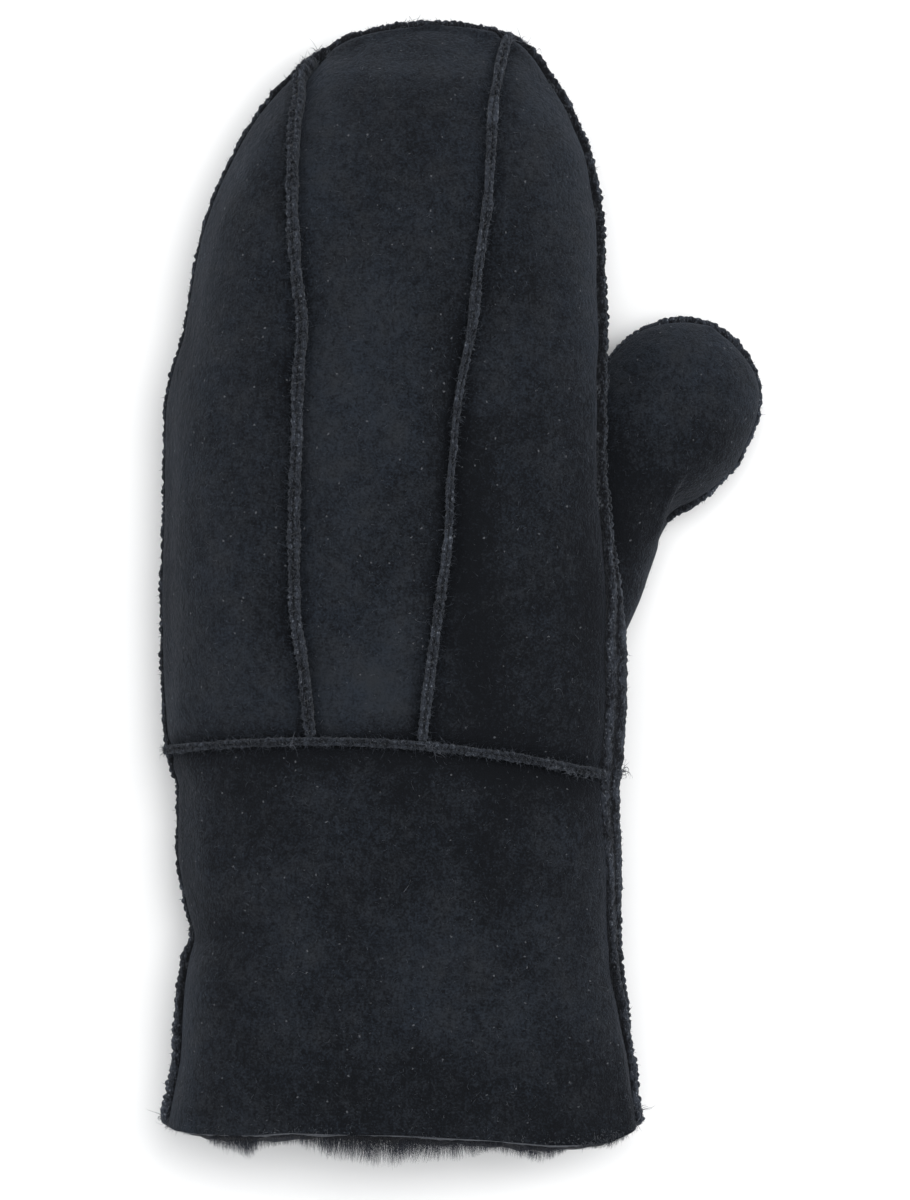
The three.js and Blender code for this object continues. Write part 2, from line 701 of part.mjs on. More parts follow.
// How far down the thumb's side the palm begins: first roughly, then by halving.
function thumbMouth(angle) {
  const halvings = 14;
  let clear = TIP;
  let held = spread(TIP, 1, 3 * THUMB_ROWS).find((reach) => bodyHolds(thumbPoint(reach, angle)));
  for (let i = 0; i < halvings; i += 1) {
    const between = (clear + held) / 2;
    if (bodyHolds(thumbPoint(between, angle))) held = between;
    else clear = between;
  }
  return held;
}

// The thumb is let into the palm with one more seam, in the corner between the two. It starts below the
// thumb's skin, and what would lie in the skin is cut away.
const BASE_SEAM_STAND = -RIDGE_HEIGHT / 4;

function thumbBaseSeam() {
  const path = spread(...THUMB_BASE_SPAN, RIDGE_STEPS).map((turn) => {
    const angle = HALF_TURN + degrees(turn);
    const reach = thumbMouth(angle);
    const at = thumbPoint(reach, angle);
    const fromPalm = new THREE.Vector3(1, 0, -1).normalize();
    return { at, out: outward(THUMB, reach, angle).add(fromPalm).normalize(), share: 0 };
  });
  const thumbClearance = filled(THUMB, 2 * THUMB_ROWS, COLUMNS.roundThumb, SEAM_GAP);
  const seamClearance = ridge(thumbEdgePath, { ...ON_THUMB, grow: SEAM_GAP });
  return cut(ridge(path, { stand: BASE_SEAM_STAND }), bodyClearance, thumbClearance, seamClearance);
}

// Fleece lines the cuff and stands out past its hem in locks. short: length of every other lock, as a share
// of its neighbours'. uneven: how much they differ. outerFace, point: where in the pile a lock's outer face
// and its point lie. outerReach, innerReach: how far its two faces go, as shares of its length.
const LOCKS = { short: 0.45, uneven: 0.56, outerFace: 0.1, point: 0.35, outerReach: 0.6, innerReach: 0.5 };
const wave = (i, step) => (1 - Math.sin(i * step)) / 2;

function fleece() {
  // The cuff's own columns, with one point more between each two, lying on the flat between them.
  const columns = [
    ...denserAtEnds(0, HALF_TURN, COLUMNS.cuffBack).slice(0, -1),
    ...denserAtEnds(HALF_TURN, 2 * HALF_TURN, COLUMNS.cuffPalm).slice(0, -1),
  ];
  const halved = (loop) => loop.flatMap((point, i) => [point, midway(point, loop[(i + 1) % loop.length])]);
  const backed = LEATHER + PILE_CLEARANCE;
  const lockLength = (i) => LOCK_LENGTH * (i % 2 === 0 ? 1 : LOCKS.short) * (1 - LOCKS.uneven * wave(i, 2.4));
  const lump = (i, row) => PILE_LUMP * Math.sin(i * 1.9 + row * 1.3);
  const out = (loop, length) => loop.map((point, i) => point.addScaledVector(TO_FINGERS, -length(i)));
  const outside = (reach, depth) => halved(columns.map((angle) => offsetPoint(BODY, reach, angle, -depth)));
  const inside = (reach, row) =>
    halved(columns.map((angle, i) => bodyPoint(reach, angle, backed + PILE + lump(i, row))));
  const rows = cuffRows.slice(0, -1);
  const loops = [
    ...rows.map((reach) => outside(reach, backed)).reverse(),
    out(outside(HEM, backed + LOCKS.outerFace * PILE), (i) => LOCKS.outerReach * lockLength(i)),
    out(outside(HEM, backed + LOCKS.point * PILE), lockLength),
    out(inside(HEM, 0), (i) => LOCKS.innerReach * lockLength(i)),
    ...rows.filter((_, row) => row % 2 === 0).map(inside),
    inside(rows[rows.length - 1], rows.length),
  ];
  const triangles = [];
  const closed = [...loops, loops[0]].map((loop) => [...loop, loop[0]]);
  for (let i = 0; i + 1 < closed.length; i += 1) quads(closed[i], closed[i + 1], triangles);
  return closedMesh(triangles);
}

// The mitten, put together

function piece(name, geometry, look) {
  const material = new THREE.MeshStandardMaterial(look);
  const mesh = new THREE.Mesh(geometry, material);
  mesh.name = name;
  return mesh;
}

const mitten = new THREE.Group();
mitten.add(
  piece("centre_back_panel", centreBackPanel(), SUEDE),
  piece("little_finger_back_panel", littleBackPanel(), SUEDE),
  piece("thumb_side_back_panel", thumbSideBackPanel(), SUEDE),
  piece("palm_panel", palmPanel(), SUEDE),
  piece("cuff_back_panel", cuffBackPanel(), SUEDE),
  piece("cuff_palm_panel", cuffPalmPanel(), SUEDE),
  piece("thumb_back_panel", thumbBackPanel(), SUEDE),
  piece("thumb_palm_panel", thumbPalmPanel(), SUEDE),
  piece("edge_seam", edgeSeam, CUT_EDGE),
  piece(
    "little_finger_back_seam",
    cut(ridge(backSeam(littleSeamAngle, LITTLE_SEAM_TOP), ON_BACK), edgeClearance, wristClearance),
    CUT_EDGE,
  ),
  piece(
    "thumb_side_back_seam",
    cut(ridge(backSeam(thumbSideSeamAngle, THUMB_SIDE_SEAM_TOP), ON_BACK), edgeClearance, wristClearance),
    CUT_EDGE,
  ),
  piece("wrist_back_seam", cut(ridge(wristBack, ON_BACK), edgeClearance), CUT_EDGE),
  piece(
    "wrist_palm_seam",
    cut(ridge(wristPath(HALF_TURN, 2 * HALF_TURN), { stand: STAND_ON_PALM }), edgeClearance),
    CUT_EDGE,
  ),
  piece("thumb_edge_seam", thumbEdgeSeam(), CUT_EDGE),
  piece("thumb_base_seam", thumbBaseSeam(), CUT_EDGE),
  piece("fleece", fleece(), WOOL),
);

// The origin is under the middle of the mitten, on the surface that it lies on.
const box = new THREE.Box3().setFromObject(mitten);
mitten.position.set(-(box.min.x + box.max.x) / 2, -(box.min.y + box.max.y) / 2, 0);
mitten.updateMatrixWorld(true);

export default mitten;
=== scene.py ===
import math

import bpy
import numpy as np
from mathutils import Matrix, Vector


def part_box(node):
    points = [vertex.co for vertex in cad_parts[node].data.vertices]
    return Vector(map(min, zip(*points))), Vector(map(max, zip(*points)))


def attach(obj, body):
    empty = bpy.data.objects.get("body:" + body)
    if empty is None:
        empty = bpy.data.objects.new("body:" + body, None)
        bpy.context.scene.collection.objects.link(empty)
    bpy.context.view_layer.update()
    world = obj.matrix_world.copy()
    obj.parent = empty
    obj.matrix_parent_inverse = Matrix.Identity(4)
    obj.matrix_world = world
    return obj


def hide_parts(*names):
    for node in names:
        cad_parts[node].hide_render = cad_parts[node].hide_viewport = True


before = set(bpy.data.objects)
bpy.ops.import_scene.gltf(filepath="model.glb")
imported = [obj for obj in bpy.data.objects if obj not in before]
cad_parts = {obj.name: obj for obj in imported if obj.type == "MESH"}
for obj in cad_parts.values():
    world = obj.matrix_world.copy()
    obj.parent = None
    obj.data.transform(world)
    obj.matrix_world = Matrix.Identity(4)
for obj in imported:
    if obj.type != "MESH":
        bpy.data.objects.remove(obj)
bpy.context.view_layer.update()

# The skins of a left-hand mitten: sheepskin about 2 mm thick, dyed navy black, cut flat and sewn suede side
# out over its own wool. It lies palm down: +X is the thumb's side, +Y runs to the fingertips.
# The body's form is a row of sections from the hem to the fingertip, as shares of the mitten's sizes.
cuff_low, cuff_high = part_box("cuff_palm_panel")
LITTLE_SHARE, THUMB_SHARE = 0.506, 0.543
MITTEN_WIDTH = (cuff_high.x - cuff_low.x) / (LITTLE_SHARE + THUMB_SHARE)
MIDDLE = cuff_low.x + LITTLE_SHARE * MITTEN_WIDTH
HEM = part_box("edge_seam")[0].y
MITTEN_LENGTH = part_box("centre_back_panel")[1].y - HEM
CUFF_LENGTH = 0.0945
HAND_LENGTH = MITTEN_LENGTH - CUFF_LENGTH
MITTEN_DEPTH = 0.050
LEATHER = 0.002
SEAM_GAP = 0.0003
OFF_FLOOR = 0.00005
GROOVE_DEPTH, GROOVE_SPREAD = 0.0014, 0.005
WRIST_ARCH, WRIST_TILT, HEM_ARCH = 0.0052, 0.0036, 0.0034
BACK_ROUNDNESS, PALM_ROUNDNESS = 2.3, 2.6
SMOOTH_TIP = 0.28
STITCH = 0.00195
MM = 0.001


def table(text):
    """Columns of numbers by name: the first line names them, and each other line is a row."""
    names, *rows = [line.split() for line in text.strip().splitlines()]
    return dict(zip(names, np.array(rows, float).T))


CUFF_SECTIONS = table("""
    along little thumb back seam_little seam_thumb under
    0.000 0.506 0.543 0.84 0.42 0.44 1.12
    0.180 0.478 0.524 0.86 0.42 0.44 1.12
    0.350 0.468 0.507 0.87 0.42 0.44 1.12
    0.430 0.457 0.497 0.86 0.42 0.44 1.12
    0.513 0.437 0.493 0.85 0.42 0.44 1.12
    0.596 0.451 0.491 0.86 0.42 0.44 1.12
    0.735 0.468 0.491 0.88 0.42 0.45 1.12
    0.900 0.468 0.486 0.88 0.42 0.46 1.02
    0.955 0.482 0.486 0.88 0.42 0.47 0.86
""")
HAND_SECTIONS = table("""
    along little thumb back seam_little seam_thumb under
    0.000 0.491 0.489 0.88 0.42 0.47 0.78
    0.030 0.498 0.494 0.90 0.42 0.49 0.84
    0.113 0.502 0.502 0.95 0.42 0.54 1.12
    0.222 0.504 0.496 0.99 0.42 0.58 1.12
    0.304 0.500 0.478 1.00 0.42 0.60 1.12
    0.386 0.497 0.462 1.00 0.42 0.60 1.12
    0.467 0.496 0.459 0.99 0.42 0.60 1.12
    0.521 0.482 0.460 0.98 0.42 0.59 1.12
    0.576 0.455 0.462 0.965 0.42 0.56 1.12
    0.657 0.434 0.457 0.93 0.41 0.50 1.12
    0.739 0.403 0.453 0.88 0.40 0.45 1.12
    0.821 0.347 0.430 0.80 0.38 0.40 1.12
    0.875 0.296 0.397 0.72 0.36 0.37 1.08
    0.929 0.222 0.347 0.61 0.35 0.35 0.85
    0.962 0.153 0.305 0.51 0.345 0.345 0.62
    0.984 0.085 0.260 0.44 0.34 0.34 0.40
    1.000 -0.085 0.085 0.34 0.34 0.34 0.00
""")
LITTLE_SEAM = table("""
    along across
    0.000 -0.36
    0.100 -0.39
    0.195 -0.425
    0.304 -0.42
    0.453 -0.40
    0.576 -0.44
    0.657 -0.50
    0.766 -0.60
    0.861 -0.735
    0.902 -0.82
    0.929 -0.93
    0.956 -1.00
""")
THUMB_SIDE_SEAM = table("""
    along across
    0.000 0.135
    0.100 0.165
    0.195 0.21
    0.304 0.275
    0.453 0.33
    0.576 0.37
    0.725 0.417
    0.861 0.475
    0.902 0.53
    0.929 0.60
    0.956 0.70
    0.977 0.85
    0.986 1.00
""")
# Dents of the full back. along: share of the whole length from the hem. across: -1 at the little finger's
# edge, 1 at the thumb's. long, wide: shares of the width. heading: degrees from +X. depth: share of the
# mitten's depth.
DENTS = table("""
    along across long wide heading depth
    0.170 -0.86 0.16 0.035 5 0.045
    0.262 -0.80 0.10 0.040 -20 0.030
    0.455 -0.18 0.12 0.060 35 0.016
    0.130 0.35 0.30 0.070 4 0.014
    0.055 -0.30 0.35 0.060 -3 0.016
""")
# Fine wrinkles in the skin itself, in the same columns.
WRINKLES = table("""
    along across long wide heading depth
    0.468 -0.20 0.070 0.011 48 0.0085
    0.480 -0.10 0.060 0.010 40 0.0070
    0.452 -0.28 0.060 0.010 60 0.0065
    0.440 -0.02 0.050 0.009 35 0.0055
    0.500 0.02 0.055 0.010 25 0.0050
    0.380 0.62 0.075 0.012 -60 0.0060
    0.560 0.66 0.080 0.012 -74 0.0060
    0.440 -0.74 0.070 0.012 70 0.0055
    0.650 -0.72 0.080 0.012 62 0.0050
    0.705 0.10 0.090 0.014 -10 0.0045
    0.800 0.20 0.080 0.012 18 0.0045
    0.355 -0.10 0.150 0.011 4 0.0060
    0.315 0.05 0.200 0.014 -2 0.0060
    0.290 0.45 0.120 0.012 9 0.0060
    0.230 -0.40 0.130 0.013 -12 0.0050
    0.170 0.66 0.110 0.013 -14 0.0055
    0.085 0.20 0.180 0.014 6 0.0050
    0.168 -0.88 0.085 0.010 8 0.0130
""")


def through(x, y):
    """A smooth line through points that never overshoots them."""
    order = np.argsort(x)
    x, y = x[order], y[order]
    slope = np.diff(y) / np.diff(x)
    product = slope[:-1] * slope[1:]
    total = np.where(product > 0, slope[:-1] + slope[1:], 1)
    tangent = np.concatenate([slope[:1], np.where(product > 0, 2 * product / total, 0), slope[-1:]])

    def line(at):
        at = np.clip(at, x[0], x[-1])
        i = np.clip(np.searchsorted(x, at, side="right") - 1, 0, len(x) - 2)
        step = x[i + 1] - x[i]
        t = (at - x[i]) / step
        start = (1 + 2 * t) * (1 - t) ** 2 * y[i] + t * (1 - t) ** 2 * step * tangent[i]
        return start + t * t * (3 - 2 * t) * y[i + 1] + t * t * (t - 1) * step * tangent[i + 1]

    return line


def reach_of(from_hem):
    """0 at the fingertip and 1 at the hem, growing as a root, so that the fingertip is round."""
    return np.sqrt(np.clip(1 - from_hem / MITTEN_LENGTH, 0, None))


def curves(at, columns):
    """A smooth line for each column of a table after the first."""
    return {name: through(at, values) for name, values in list(columns.items())[1:]}


cuff_reach = reach_of(CUFF_SECTIONS["along"] * CUFF_LENGTH)
hand_reach = reach_of(CUFF_LENGTH + HAND_SECTIONS["along"] * HAND_LENGTH)
body_sections = {name: np.append(CUFF_SECTIONS[name], HAND_SECTIONS[name]) for name in CUFF_SECTIONS}
body_curves = curves(np.append(cuff_reach, hand_reach), body_sections)
little_seam_reach = reach_of(CUFF_LENGTH + LITTLE_SEAM["along"] * HAND_LENGTH)
thumb_side_seam_reach = reach_of(CUFF_LENGTH + THUMB_SIDE_SEAM["along"] * HAND_LENGTH)
little_seam_across = through(little_seam_reach, LITTLE_SEAM["across"])
thumb_side_seam_across = through(thumb_side_seam_reach, THUMB_SIDE_SEAM["across"])
LITTLE_SEAM_TOP, THUMB_SIDE_SEAM_TOP = little_seam_reach.min(), thumb_side_seam_reach.min()
WRIST = reach_of(CUFF_LENGTH)


def round_section(angle, roundness):
    c, s = np.abs(np.cos(angle)), np.abs(np.sin(angle))
    size = (c**roundness + s**roundness) ** (1 / roundness)
    return np.cos(angle) / size, s / size


def angle_across(across, roundness):
    bulge = np.clip(1 - np.abs(across) ** roundness, 0, None) ** (1 / roundness)
    return np.arctan2(bulge, across)


def spots(marks, x_across, half, from_hem):
    """The sum at each point of a table's soft oval spots, each as strong as its last column says."""
    total = 0
    for along, across, long, wide, heading, strong in zip(*marks.values()):
        x = (x_across - across) * half
        y = from_hem - along * MITTEN_LENGTH
        turn = math.radians(heading)
        onward = (x * math.cos(turn) + y * math.sin(turn)) / (long * MITTEN_WIDTH)
        aside = (y * math.cos(turn) - x * math.sin(turn)) / (wide * MITTEN_WIDTH)
        total = total + strong * np.exp(-(onward**2) - aside**2)
    return total


def eased(value, low, high):
    """From 0 at low to 1 at high, level at both."""
    share = np.clip((value - low) / (high - low), 0, 1)
    return share * share * (3 - 2 * share)


def bell(distance, spread):
    """1 at no distance, and next to nothing beyond twice the spread."""
    return np.exp(-((distance / spread) ** 2))


def groove(distance):
    return GROOVE_DEPTH * bell(distance, GROOVE_SPREAD)


def hollows(reach, from_hem, across, half):
    """How deep the seams and dents draw the back in. It is smooth again at the fingertip."""
    fade = eased(reach, THUMB_SIDE_SEAM_TOP, SMOOTH_TIP)
    little = groove((across - little_seam_across(reach)) * half)
    thumb_side = groove((across - thumb_side_seam_across(reach)) * half)
    seams = np.where(reach < WRIST, np.maximum(little, thumb_side), 0)
    seams = np.maximum(seams, groove(from_hem - CUFF_LENGTH))
    return fade * (seams + MITTEN_DEPTH * spots(DENTS, across, half, from_hem))


# How far the hem of the back hangs out beyond its even curve, in millimetres.
HEM_WAVE = table("""
    across out
    -1.00 0.0
    -0.95 0.8
    -0.67 -0.1
    -0.45 -1.7
    -0.06 -1.9
    0.29 -0.6
    0.50 1.0
    0.66 2.4
    0.88 3.2
    0.97 1.4
    1.00 0.0
""")
hem_wave = through(HEM_WAVE["across"], HEM_WAVE["out"] * MM)


def row_shift(from_hem, across, on_back):
    """How far each row is moved towards the fingers, because it bends with the wrist seam and the hem."""
    arch = np.where(on_back, 1 - across**2, 0)
    below = from_hem / CUFF_LENGTH
    near_wrist = np.where(from_hem < CUFF_LENGTH, below, ((MITTEN_LENGTH - from_hem) / HAND_LENGTH) ** 2)
    near_hem = np.clip(1 - below, 0, None)
    wave = np.where(on_back, hem_wave(across), 0) * near_hem**2
    return near_wrist * (WRIST_ARCH * arch - WRIST_TILT * across) - near_hem * HEM_ARCH * arch - wave


def vectors(x, y, z):
    return np.stack(np.broadcast_arrays(x, y, z), -1)


def body_point(reach, angle, inset=0.0):
    """A point of the body, or of the same form shrunk by inset on every side."""
    reach, angle = np.broadcast_arrays(np.asarray(reach, float), np.asarray(angle, float))
    part = {column: line(reach) for column, line in body_curves.items()}
    from_hem = MITTEN_LENGTH * (1 - reach**2)
    on_back = np.sin(angle) >= 0
    across, bulge = round_section(angle, np.where(on_back, BACK_ROUNDNESS, PALM_ROUNDNESS))
    half = (part["little"] + part["thumb"]) / 2 * MITTEN_WIDTH - inset
    middle = (part["thumb"] - part["little"]) / 2 * MITTEN_WIDTH
    seam_rise = (part["seam_thumb"] - part["seam_little"]) * (across + 1) / 2
    seam = (part["seam_little"] + seam_rise) * MITTEN_DEPTH
    rise = part["back"] * MITTEN_DEPTH - seam - inset - hollows(reach, from_hem, across, half)
    under = np.maximum(inset, seam - (part["under"] * seam - inset) * bulge)
    height = np.where(on_back, seam + rise * bulge, under)
    y = HEM + from_hem + row_shift(from_hem, across, on_back)
    return vectors(MIDDLE + middle + half * across, y, height)


def unit(vectors):
    return vectors / np.clip(np.linalg.norm(vectors, axis=-1, keepdims=True), 1e-12, None)


def outward(grid, around=False):
    """The direction straight out of a grid of points, whose rows run to the fingers and columns to -X."""
    if around:
        aside = np.roll(grid, -1, axis=1) - np.roll(grid, 1, axis=1)
    else:
        aside = np.gradient(grid, axis=1)
    return unit(np.cross(np.gradient(grid, axis=0), aside))


def lengths_along(grid, axis):
    """The way from the first row, or column, to each point."""
    steps = np.linalg.norm(np.diff(grid, axis=axis), axis=-1)
    start = np.zeros_like(np.take(steps, [0], axis=axis))
    return np.cumsum(np.concatenate([start, steps], axis=axis), axis=axis)


def unevenness(points, size, seed, waves=14):
    """A smooth random field over points, mostly between -1 and 1, whose lumps are about that size."""
    rng = np.random.default_rng(seed)
    ways = unit(rng.normal(size=(waves, 3))) * 2 * math.pi / (size * rng.uniform(1.4, 3.2, (waves, 1)))
    turns = rng.uniform(0, 2 * math.pi, waves)
    return np.cos(points @ ways.T + turns).sum(-1) / math.sqrt(waves)


def mottled(points, seed, layers):
    """A sum of such fields, each given as its amount, its size and what is added to the seed."""
    return sum(amount * unevenness(points, size, seed + number) for amount, size, number in layers)


def grid_faces(rows, columns, around=False):
    index = np.arange(rows * columns).reshape(rows, columns)
    if around:
        index = np.concatenate([index, index[:, :1]], axis=1)
    corners = [index[:-1, :-1], index[1:, :-1], index[1:, 1:], index[:-1, 1:]]
    return np.stack(corners, -1).reshape(-1, 4)


def piece(name, parts, material, slot, *nodes):
    """One object from several meshes, each given as points, faces and a shade for every point. It takes the
    place of the frame's solids that are named."""
    points, faces, shades, start = [], [], [], 0
    for part_points, part_faces, part_shade in parts:
        points.append(part_points.reshape(-1, 3))
        faces += (part_faces + start).tolist()
        shades.append(np.broadcast_to(part_shade, part_points.shape[:-1]).reshape(-1))
        start += len(points[-1])
    mesh = bpy.data.meshes.new(name)
    mesh.from_pydata(np.concatenate(points).tolist(), [], faces)
    mesh.validate()
    mesh.attributes.new("shade", "FLOAT", "POINT").data.foreach_set("value", np.concatenate(shades))
    mesh.polygons.foreach_set("use_smooth", [True] * len(mesh.polygons))
    mesh.materials.append(material)
    made = bpy.data.objects.new(name, mesh)
    bpy.context.scene.collection.objects.link(made)
    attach(made, "root")
    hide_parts(*nodes)


def even_rows(point, first, last, angles, spacing):
    """Reaches from first to last whose rows lie about that far apart where they are widest."""
    reach = np.linspace(first, last, 400)
    grid = point(reach[:, None], angles[None, :])
    along = np.concatenate([[0], np.cumsum(np.linalg.norm(np.diff(grid, axis=0), axis=-1).max(1))])
    return np.interp(np.linspace(0, along[-1], int(along[-1] / spacing) + 1), along, reach)


# Soft patches where the skin is painted lighter or darker, in the same columns. Most are painted shade and
# light. The skin is darker in the valley beside the thumb's seam, above the hem, under the wrist seam and
# where the thumb meets the body. It is lighter with painted sheen along the rims and on the thumb's top. The
# rest is the skin's uneven tone. tone: added to its shade.
PAINTED_LIGHT_AND_TONE = table("""
    along across long wide heading tone
    0.670 -0.15 0.20 0.140 80 0.20
    0.395 -0.12 0.24 0.090 10 0.36
    0.550 -0.30 0.10 0.060 90 -0.12
    0.900 -0.25 0.16 0.080 20 0.02
    0.555 0.335 0.70 0.060 95 -0.34
    0.440 0.60 0.30 0.260 90 -0.26
    0.620 0.64 0.30 0.160 90 -0.10
    0.810 0.86 0.40 0.090 -72 0.34
    0.940 0.62 0.18 0.050 -40 0.14
    0.340 -0.10 0.34 0.042 2 -0.34
    0.326 0.60 0.30 0.040 -8 -0.26
    0.030 0.00 0.80 0.110 0 -0.16
    0.200 -0.20 0.30 0.180 20 -0.10
    0.240 0.35 0.22 0.120 -30 -0.12
    0.130 0.50 0.26 0.140 15 -0.06
    0.070 -0.94 0.40 0.050 92 0.40
    0.600 -0.93 0.90 0.050 90 -0.12
    0.850 -0.72 0.35 0.060 66 0.12
    0.965 0.00 0.40 0.035 0 0.22
    0.700 1.42 0.22 0.150 60 0.40
    0.560 1.22 0.40 0.150 75 -0.42
    0.620 1.02 0.60 0.060 85 -0.30
""")


def off_floor(points, least=OFF_FLOOR):
    """The same points, none of them lower than that."""
    points[..., 2] = np.maximum(points[..., 2], least)
    return points


BACK_SPACING, PALM_SPACING = 0.65 * MM, 1.4 * MM
# The skin's own lumps and clouds of tone, as layers of unevenness.
LUMPS = (0.40 * MM, 24 * MM, 0), (0.15 * MM, 8 * MM, 1)
CLOUDS = (0.10, 34 * MM, 3), (0.09, 13 * MM, 4), (0.05, 6 * MM, 9)
# What a seam does to the skin beside it, and how far that reaches: it puckers it at every stitch, pulls it
# unevenly and draws it in. Where the skin rolls out over the seam it rises; where it is pulled in, a painted
# shadow darkens it at the seam's foot. Painted shade also darkens the crack right beside each seam and, more
# faintly, a wider band near it.
PUCKER, PUCKER_REACH = 0.07 * MM, 1.6 * MM
PULL, PULL_SIZE, PULL_REACH = 0.20 * MM, 6 * MM, 7 * MM
DRAWN_IN, DRAWN_REACH = 0.75 * MM, 1.9 * MM
ROLL_REACH, FOOT_WIDTH, FOOT_PAINTED_SHADE = 4.5 * MM, 0.9 * MM, 0.45
CRACK_PAINTED_SHADE, CRACK_REACH, SEAM_PAINTED_SHADE, SEAM_REACH = 0.30, 1.3 * MM, 0.14, 6 * MM
SMOOTH_AT_EDGE, CLOSER_AT_EDGE, FLESH_STEP, FLESH_SHADE = 5 * MM, 0.25, 4, 0.3


def skin(
    point, rows, first, last, spacing=BACK_SPACING, rise=0, *, seed, tone=0.5, sewn=(1, 1, 1), roll, fold=None
):
    """A panel of sheepskin between two edges, given as angles at each row: its suede side, drawn in and
    puckered at its seams, with painted shade beside them, its turned edges and its flesh side. sewn: how
    strongly its first and last edge and its first row are drawn in and painted darker. roll: how far the same
    two edges roll out over the seam. fold: a crease of its own, as a function of the points, giving its rise
    and its painted shade."""
    trial = first[:, None] + np.linspace(0, 1, 60) * (last - first)[:, None]
    width = np.linalg.norm(np.diff(point(rows[:, None], trial), axis=1), axis=-1).sum(1).max()
    columns = max(12, int(width / spacing))
    ease = np.linspace(0, 1, columns)
    ease = ease + CLOSER_AT_EDGE * ((1 - np.cos(math.pi * ease)) / 2 - ease)
    face = point(rows[:, None], first[:, None] + ease * (last - first)[:, None]) + [0, 0, rise]
    out = outward(face)
    from_first, from_start = lengths_along(face, 1), lengths_along(face, 0)
    from_last = from_first[:, -1:] - from_first
    on_face = (face[..., 0] - MIDDLE) * 2 / MITTEN_WIDTH, MITTEN_WIDTH / 2, face[..., 1] - HEM
    relief = mottled(face, seed, LUMPS) - MITTEN_DEPTH * spots(WRINKLES, *on_face)
    edge = np.minimum(np.minimum(from_first, from_last), from_start if sewn[2] else 1.0)
    relief = relief * (1 - np.exp(-edge / SMOOTH_AT_EDGE))
    # dark: painted shade beside the seams and in the fold.
    dark = 0
    for strength, distance, seam, out_by in (
        (sewn[0], from_first, from_start[:, :1], roll[0]),
        (sewn[1], from_last, from_start[:, -1:], roll[1]),
        (sewn[2], from_start, from_first[:1], 0),
    ):
        pull = unevenness(vectors(seam, 0, 0), PULL_SIZE, seed + 7)
        stitches = np.cos(2 * math.pi * seam / STITCH)
        relief = relief + strength * PUCKER * stitches * np.exp(-distance / PUCKER_REACH)
        relief = relief + strength * PULL * pull * np.exp(-distance / PULL_REACH)
        relief = relief - strength * DRAWN_IN * bell(distance, DRAWN_REACH)
        relief = relief + out_by * bell(distance, ROLL_REACH)
        foot = 1.2 * MM - 1.6 * out_by
        dark = dark - np.minimum(out_by, 0) / MM * FOOT_PAINTED_SHADE * bell(distance - foot, FOOT_WIDTH)
        near = CRACK_PAINTED_SHADE * np.exp(-distance / CRACK_REACH) + SEAM_PAINTED_SHADE * np.exp(-distance / SEAM_REACH)
        dark = dark + strength * near
    if fold:
        rise_by, dark_by = fold(face)
        relief, dark = relief + rise_by, dark + dark_by
    outer = off_floor(face + out * relief[..., None])
    # The shade: the panel's tone and clouds, less the painted shade, plus the patches of painted light and
    # tone.
    shade = tone + mottled(face, seed, CLOUDS) - dark + spots(PAINTED_LIGHT_AND_TONE, *on_face)
    inner = (outer - out * LEATHER)[::FLESH_STEP, ::FLESH_STEP]
    parts = [
        (outer, grid_faces(*outer.shape[:2]), shade),
        (inner, grid_faces(*inner.shape[:2])[:, ::-1], FLESH_SHADE),
    ]
    for side, flip in ((np.s_[:, 0], False), (np.s_[:, -1], True), (0, True), (-1, False)):
        turned = np.stack([outer[side], outer[side] - out[side] * LEATHER])
        faces = grid_faces(*turned.shape[:2])
        parts.append((turned, faces[:, ::-1] if flip else faces, FLESH_SHADE))
    return parts


class Value:
    """A number in a shader. Python's arithmetic on it adds Math nodes."""

    def __init__(self, finish, socket):
        self.finish, self.socket = finish, socket

    def joined(self, operation, first, second):
        return self.finish.node("ShaderNodeMath", {"operation": operation}, {0: first, 1: second})

    def __add__(self, other):
        return self.joined("ADD", self, other)

    def __sub__(self, other):
        return self.joined("SUBTRACT", self, other)

    def __mul__(self, other):
        return self.joined("MULTIPLY", self, other)

    def __pow__(self, other):
        return self.joined("POWER", self, other)

    def __lt__(self, other):
        return self.joined("LESS_THAN", self, other)

    def __rsub__(self, other):
        return self.joined("SUBTRACT", other, self)

    __radd__ = __add__
    __rmul__ = __mul__


